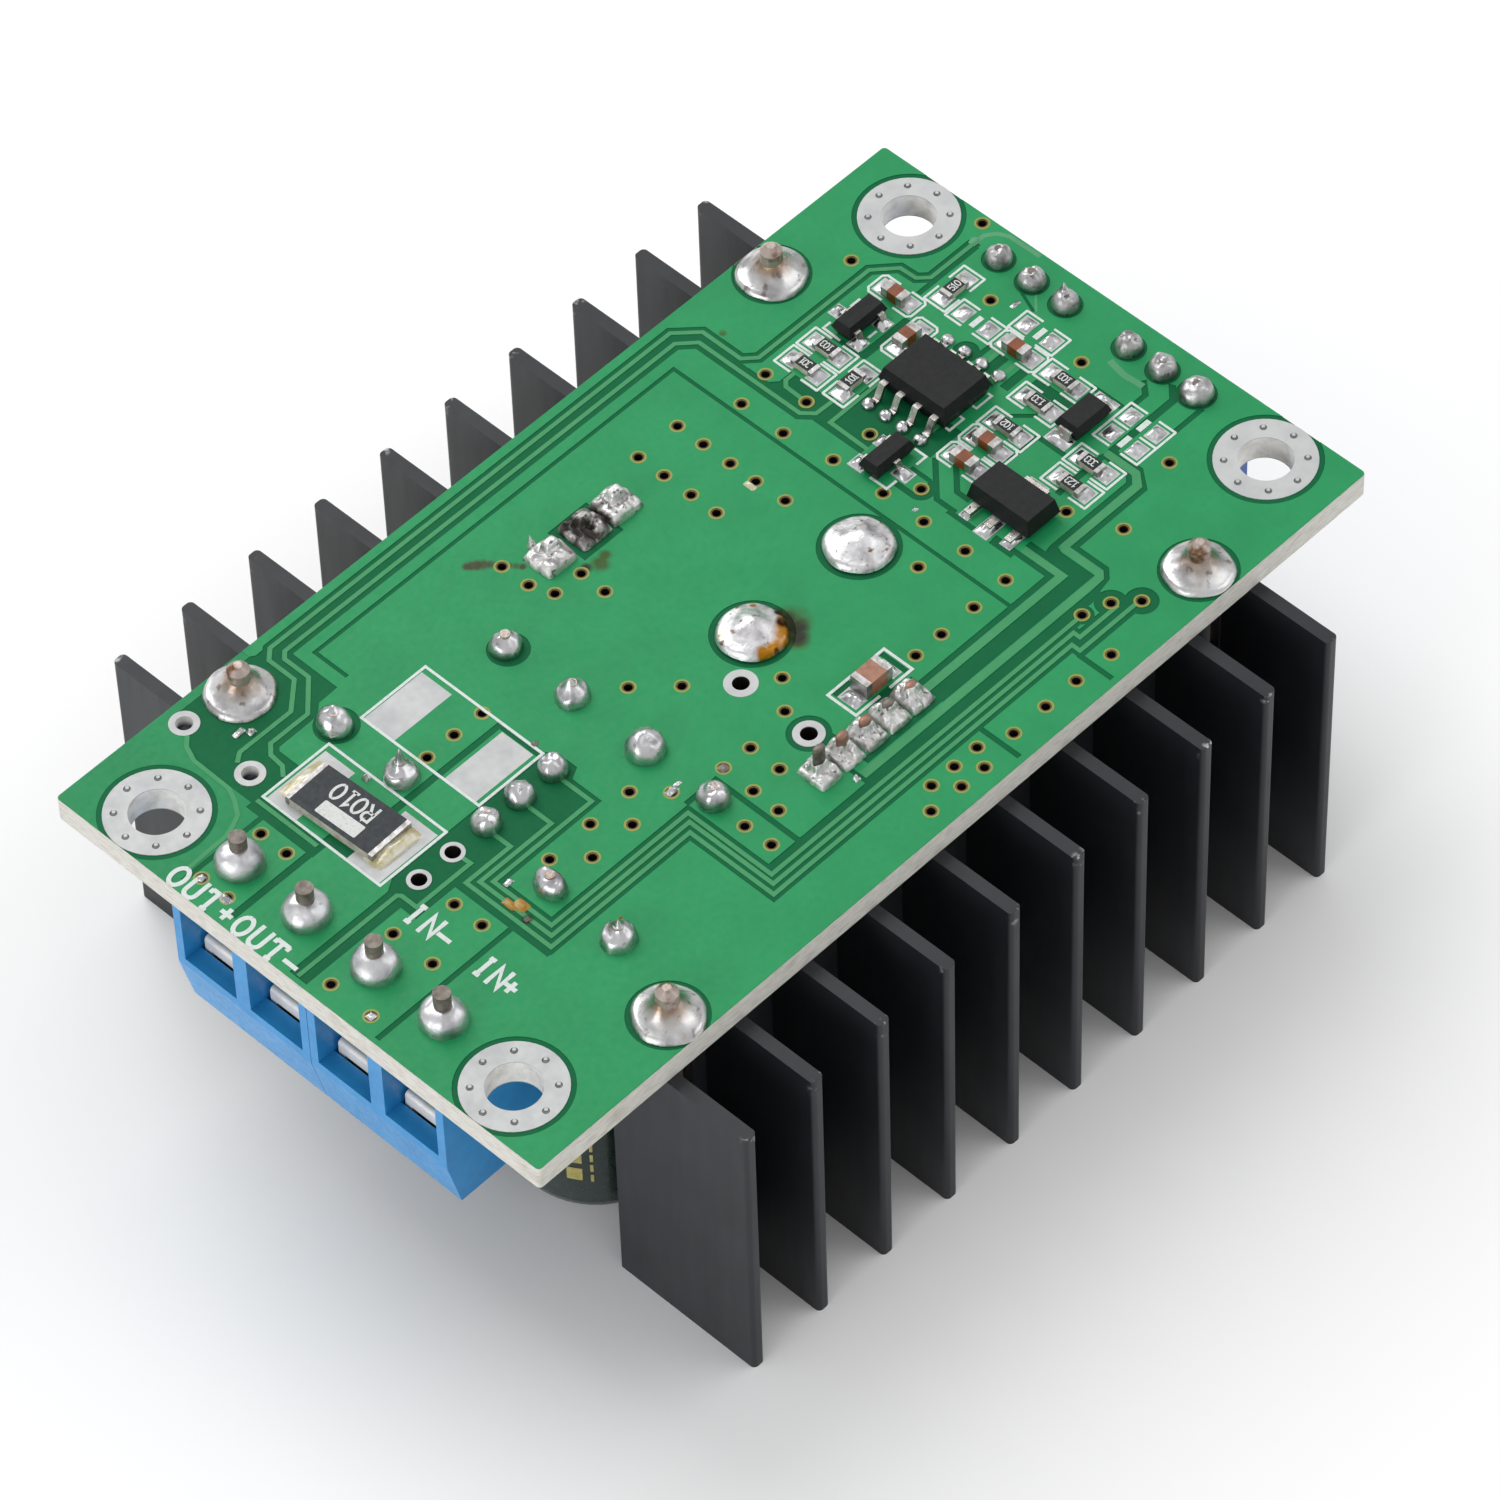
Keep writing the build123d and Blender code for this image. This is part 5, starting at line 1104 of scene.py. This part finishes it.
def chip_fillets():
    """Solder at the chips' ends, at the small packages and at the amplifier's leads, and the shunt's flux."""
    heap = Heap()
    seed = 100
    for x, y, across in [(x, y, False) for x, y in CHIPS_UP] + [(x, y, True) for x, y in CHIPS_FLAT]:
        for side in (1, -1):
            seed += 1
            px, py = (x + side * CHIP_REACH, y) if across else (x, y + side * CHIP_REACH)
            peak = (-0.8 * side, 0) if across else (0, -0.8 * side)
            size = (0.9, 1.04) if across else (1.04, 0.9)
            mound(heap, px, py * ROW, *size, 0.3, seed, peak=peak, rough=0.08, steps=12)
    for x, y, width, length, height in CHIP_MOUNDS:
        seed += 1
        mound(heap, x, y * ROW, width, length, height, seed, rough=0.06, steps=14)
    flip(heap)
    for y in (5.45, 4.15, 2.85, 1.5):
        for x in (17.55, 24.0):
            seed += 1
            joint(heap, x, y * ROW, 0.42, 0.36, seed, rough=0.08, rings=8, count=18)
    piece("chip_fillets", heap, "solder", True)
    heap = Heap()
    for seed, (y, width) in enumerate(((9.1, 3.3), (2.55, 3.4)), 201):
        mound(heap, -22.6, y * ROW, width, 1.5, 0.42, seed, rough=0.06, steps=30, power=0.5, keep=0.8)
    piece("shunt_fillets", flip(heap), "cream_flux", True)


# Bits of solder and flux: x, y, width, length, height and paint
FLECKS = [
    (-20.1, -3.8, 0.6, 0.35, 0.2, "solder"), (13.7, -1.8, 0.35, 0.25, 0.1, "solder"),
    (-2.4, -12.65, 0.4, 0.4, 0.3, "solder"), (8.75, 6.2, 0.4, 0.8, 0.2, "cream_flux"),
    (-22.7, 14.4, 0.8, 0.35, 0.25, "solder_dull"), (-22.2, 13.95, 0.5, 0.4, 0.3, "solder_dull"),
    (-20.25, 7.0, 0.45, 0.45, 0.4, "solder"), (28.6, 4.55, 0.7, 0.3, 0.12, "solder"),
    (-12.4, 1.95, 0.4, 0.35, 0.15, "oxidised_pin"), (-31.0, 8.6, 0.45, 0.4, 0.2, "solder"),
    (-31.1, 6.6, 0.5, 0.8, 0.25, "solder"), (-31.35, -4.8, 0.5, 0.5, 0.15, "solder"),
    (-9.7, -5.85, 0.8, 0.45, 0.25, "solder"), (-9.2, -5.72, 0.6, 0.25, 0.12, "solder"),
    (-6.7, -6.8, 0.55, 0.55, 0.1, "oxidised_pin"), (30.6, 9.55, 0.7, 0.5, 0.14, "mask_haze"),
    (22.5, -15.7, 0.4, 0.25, 0.1, "amber_flux"), (-20.75, -5.4, 0.7, 0.9, 0.1, "amber_flux"),
    (-21.1, -4.9, 0.5, 0.9, 0.1, "amber_flux"), (-21.2, -6.3, 0.35, 0.3, 0.12, "oxidised_pin"),
    (20.0, -17.2, 0.4, 0.25, 0.12, "amber_flux"), (22.5, 16.9, 0.5, 0.3, 0.12, "amber_flux"),
    (-18.0, -10.2, 0.3, 0.3, 0.6, "amber_flux"), (-21.3, -15.5, 1.5, 0.25, 0.75, "amber_flux"),
    (-2.6, 12.0, 0.5, 0.5, 0.85, "solder_dull"),
]


def make_flecks():
    """Loose bits of solder and flux on the board."""
    heap = Heap()
    names = sorted({row[5] for row in FLECKS})
    for seed, (x, y, width, length, height, tint) in enumerate(FLECKS, 301):
        mound(heap, x, y * ROW, width, length, height, seed, rough=0.14, steps=10, tint=names.index(tint))
    piece("flecks", flip(heap), names, True)


# Marks printed on the parts
def flat_marks(name, polygons, node):
    """Print on a node's top."""
    heap = Heap()
    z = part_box(node)[1].z / MM
    for polygon in polygons:
        polygon = ccw(polygon)
        heap.wind([[(x, y, level) for x, y in polygon] for level in (z, z + 0.012)], caps=True)
    piece(name, heap, "print")


# The shunt's place and turn, and the codes on the resistors with their places
SHUNT_PLACE, SHUNT_TURN = (-22.68, 5.77), math.radians(2.2)
CHIP_CODES = [(17.17, 9.87, "301"), (18.89, 9.87, "103"), (21.4, -1.55, "102"), (23.9, -1.58, "133"),
              (26.1, -1.57, "103"), (20.7, -7.0, "123"), (22.55, -6.77, "333")]
FLAT_CODES = [(18.05, 7.2, "101"), (27.05, 7.75, "510")]


def on_shunt(points):
    """Turns points given along and across the shunt into the board's places."""
    cos, sin = math.cos(SHUNT_TURN), math.sin(SHUNT_TURN)
    x, y = SHUNT_PLACE
    return [(x + v * cos - u * sin, y + v * sin + u * cos) for u, v in points]


def make_marks():
    bar = arc(1.23, -0.4, 0.1, 0.1, 90, 0, 4) + arc(1.23, -1.15, 0.1, 0.1, 0, -90, 4)
    bar += arc(-1.5, -1.15, 0.1, 0.1, 270, 180, 4) + arc(-1.5, -0.4, 0.1, 0.1, 180, 90, 4)
    code = lettering("R010", (-1.5, 1.16), RIGHT, DOWN, 1.25, 0.17, 0.86)
    flat_marks("shunt_code", [on_shunt(polygon) for polygon in [bar] + code], "shunt_resistor_body")
    marks = []
    for x, y, text in CHIP_CODES:
        marks += lettering(text, (x + 0.27, y - 0.38), UP, LEFT, 0.5, 0.07, 0.7)
    for x, y, text in FLAT_CODES:
        marks += lettering(text, (x - 0.38, y - 0.27), RIGHT, UP, 0.5, 0.07, 0.7)
    flat_marks("chip_codes", marks, "chip_resistor_bodies")


# Columns of dashes on a sleeve: start and width in degrees, first height, step and count
PRINT_COLUMNS = [
    (206, 10, -5.0, 1.5, 7), (221, 2, -4.6, 0.9, 12), (258, 10, -5.0, 1.5, 7), (273, 3, -4.6, 0.7, 16),
]


def sleeve_profile(radius, bottom, top):
    """Radii and heights of a sleeve, which follows the rim of its can and the groove below it."""
    outer = radius + 0.07
    return [(radius - 1.3, bottom - 0.02), (radius - 0.5, bottom - 0.05), (radius - 0.05, bottom + 0.25),
            (outer, bottom + 0.7), (outer, top - 3.4), (radius - 0.3, top - 2.6), (outer, top - 1.8),
            (outer, top - 0.7), (radius - 0.3, top - 0.06), (radius - 0.9, top + 0.02)]


def make_sleeves():
    """Printed sleeves shrunk round the cans and over their rims, with a stripe of dashes."""
    sleeve, prints = Heap(), Heap()
    dashes = [(52, 66, -3.6 - row * 2.4, -5.0 - row * 2.4) for row in range(5)]
    dashes += [(start, start + wide, high - row * step, high - (row + 0.7) * step)
               for start, wide, high, step, count in PRINT_COLUMNS for row in range(count)]
    for name in CAN_NODES:
        low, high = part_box(name)
        x, y = (low.x + high.x) / 2 / MM, (low.y + high.y) / 2 / MM
        bottom, top, radius = low.z / MM, high.z / MM, (high.x - low.x) / 2 / MM
        profile = sleeve_profile(radius, bottom, top)
        sleeve.wind([[(px, py, z) for px, py in disc(x, y, r, 64)] for r, z in profile])
        for start, end, above, below in dashes:
            edge = arc(x, y, radius + 0.085, radius + 0.085, start, end, 6)
            prints.wind([[(px, py, top + z) for px, py in edge] for z in (below, above)], closed=False)
    piece("capacitor_sleeves", sleeve, "sleeve", True)
    piece("capacitor_print", prints, "gold_print", True)


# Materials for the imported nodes
FINISHES = {
    "laminate": ["circuit_board"],
    "anodised": ["heatsink_diode", "heatsink_regulator"],
    "bright_pin": ["heatsink_pins", "capacitor_leads", "indicator_leads"],
    "oxidised_pin": ["trimmer_pins", "terminal_contacts"],
    "tinned": ["diode_tab_and_leads", "regulator_tab_and_leads", "amplifier_leads",
               "small_transistor_leads", "signal_diode_leads", "supply_chip_leads"],
    "chip_end": ["chip_resistor_ends", "chip_capacitor_ends", "shunt_resistor_ends", "filter_capacitor_ends"],
    "epoxy": ["diode_body", "regulator_body", "amplifier_body", "small_transistor_bodies",
              "signal_diode_body", "supply_chip_body"],
    "chip_black": ["chip_resistor_bodies"],
    "shunt_black": ["shunt_resistor_body"],
    "brown": ["chip_capacitor_bodies"],
    "pink": ["filter_capacitor_body"],
    "terminal": ["terminal_housing_output", "terminal_housing_input"],
    "clamp": [f"terminal_clamp_{number}" for number in (1, 2, 3, 4)],
    "zinc": [f"terminal_screw_{number}" for number in (1, 2, 3, 4)] + ["package_screws"],
    "trimmer": ["trimmer_body_voltage", "trimmer_body_current"],
    "brass": ["trimmer_screw_voltage", "trimmer_screw_current"],
    "aluminium": CAN_NODES,
    "rubber": ["capacitor_bungs"],
    "core": ["inductor_core"],
    "wire": ["inductor_winding"],
    "silicone": ["thermal_pads"],
    "lens": ["indicator_lens"],
    "solder": [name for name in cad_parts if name.startswith("solder_")],
}


def dress_nodes():
    for finish, names in FINISHES.items():
        for name in names:
            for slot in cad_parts[name].material_slots:
                slot.material = PAINTS[finish]
    left = set(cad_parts) - {name for names in FINISHES.values() for name in names}
    assert not left, left


# Floor and lights
def make_floor():
    reach, low = 1.5, cad_low.z
    mesh = bpy.data.meshes.new("floor")
    mesh.from_pydata([(x, y, low) for x, y in rect(-reach, reach, -reach, reach)], [], [(0, 1, 2, 3)])
    floor = bpy.data.objects.new("floor", mesh)
    bpy.context.scene.collection.objects.link(floor)
    mesh.materials.append(Paint("floor", rgb(249, 249, 249), 0.9).mottle(0.01, rgb(246, 246, 246)).material)


def make_world():
    world = bpy.data.worlds.new("studio")
    world.use_nodes = True
    world.node_tree.nodes["Background"].inputs["Color"].default_value = (1, 1, 1, 1)
    world.node_tree.nodes["Background"].inputs["Strength"].default_value = 0.7
    bpy.context.scene.world = world


def make_lights():
    for name, place, size, power in (
        ("key", (0.1, 0.55, 0.6), 0.6, 3.6),
        ("fill", (0.5, -0.45, 0.5), 0.6, 1.0),
        ("low", (-0.7, -0.05, 0.12), 0.4, 1.7),
    ):
        data = bpy.data.lights.new(name, "AREA")
        data.size = size
        data.energy = power
        light = bpy.data.objects.new(name, data)
        bpy.context.scene.collection.objects.link(light)
        light.location = place
        light.rotation_mode = "QUATERNION"
        light.rotation_quaternion = (-Vector(place)).to_track_quat("-Z", "Y")


make_camera()
PAINTS = make_materials()
dress_nodes()
draw_areas()
draw_traces()
draw_pads()
draw_silk()
draw_underside()
make_board()
make_barrels()
make_side("solder", 0.0, 1)
make_side("parts", UNDER, -1)
round_joints()
package_joints()
chip_fillets()
make_flecks()
make_marks()
make_sleeves()
make_floor()
make_world()
make_lights()
bpy.context.scene.view_settings.view_transform = "Standard"
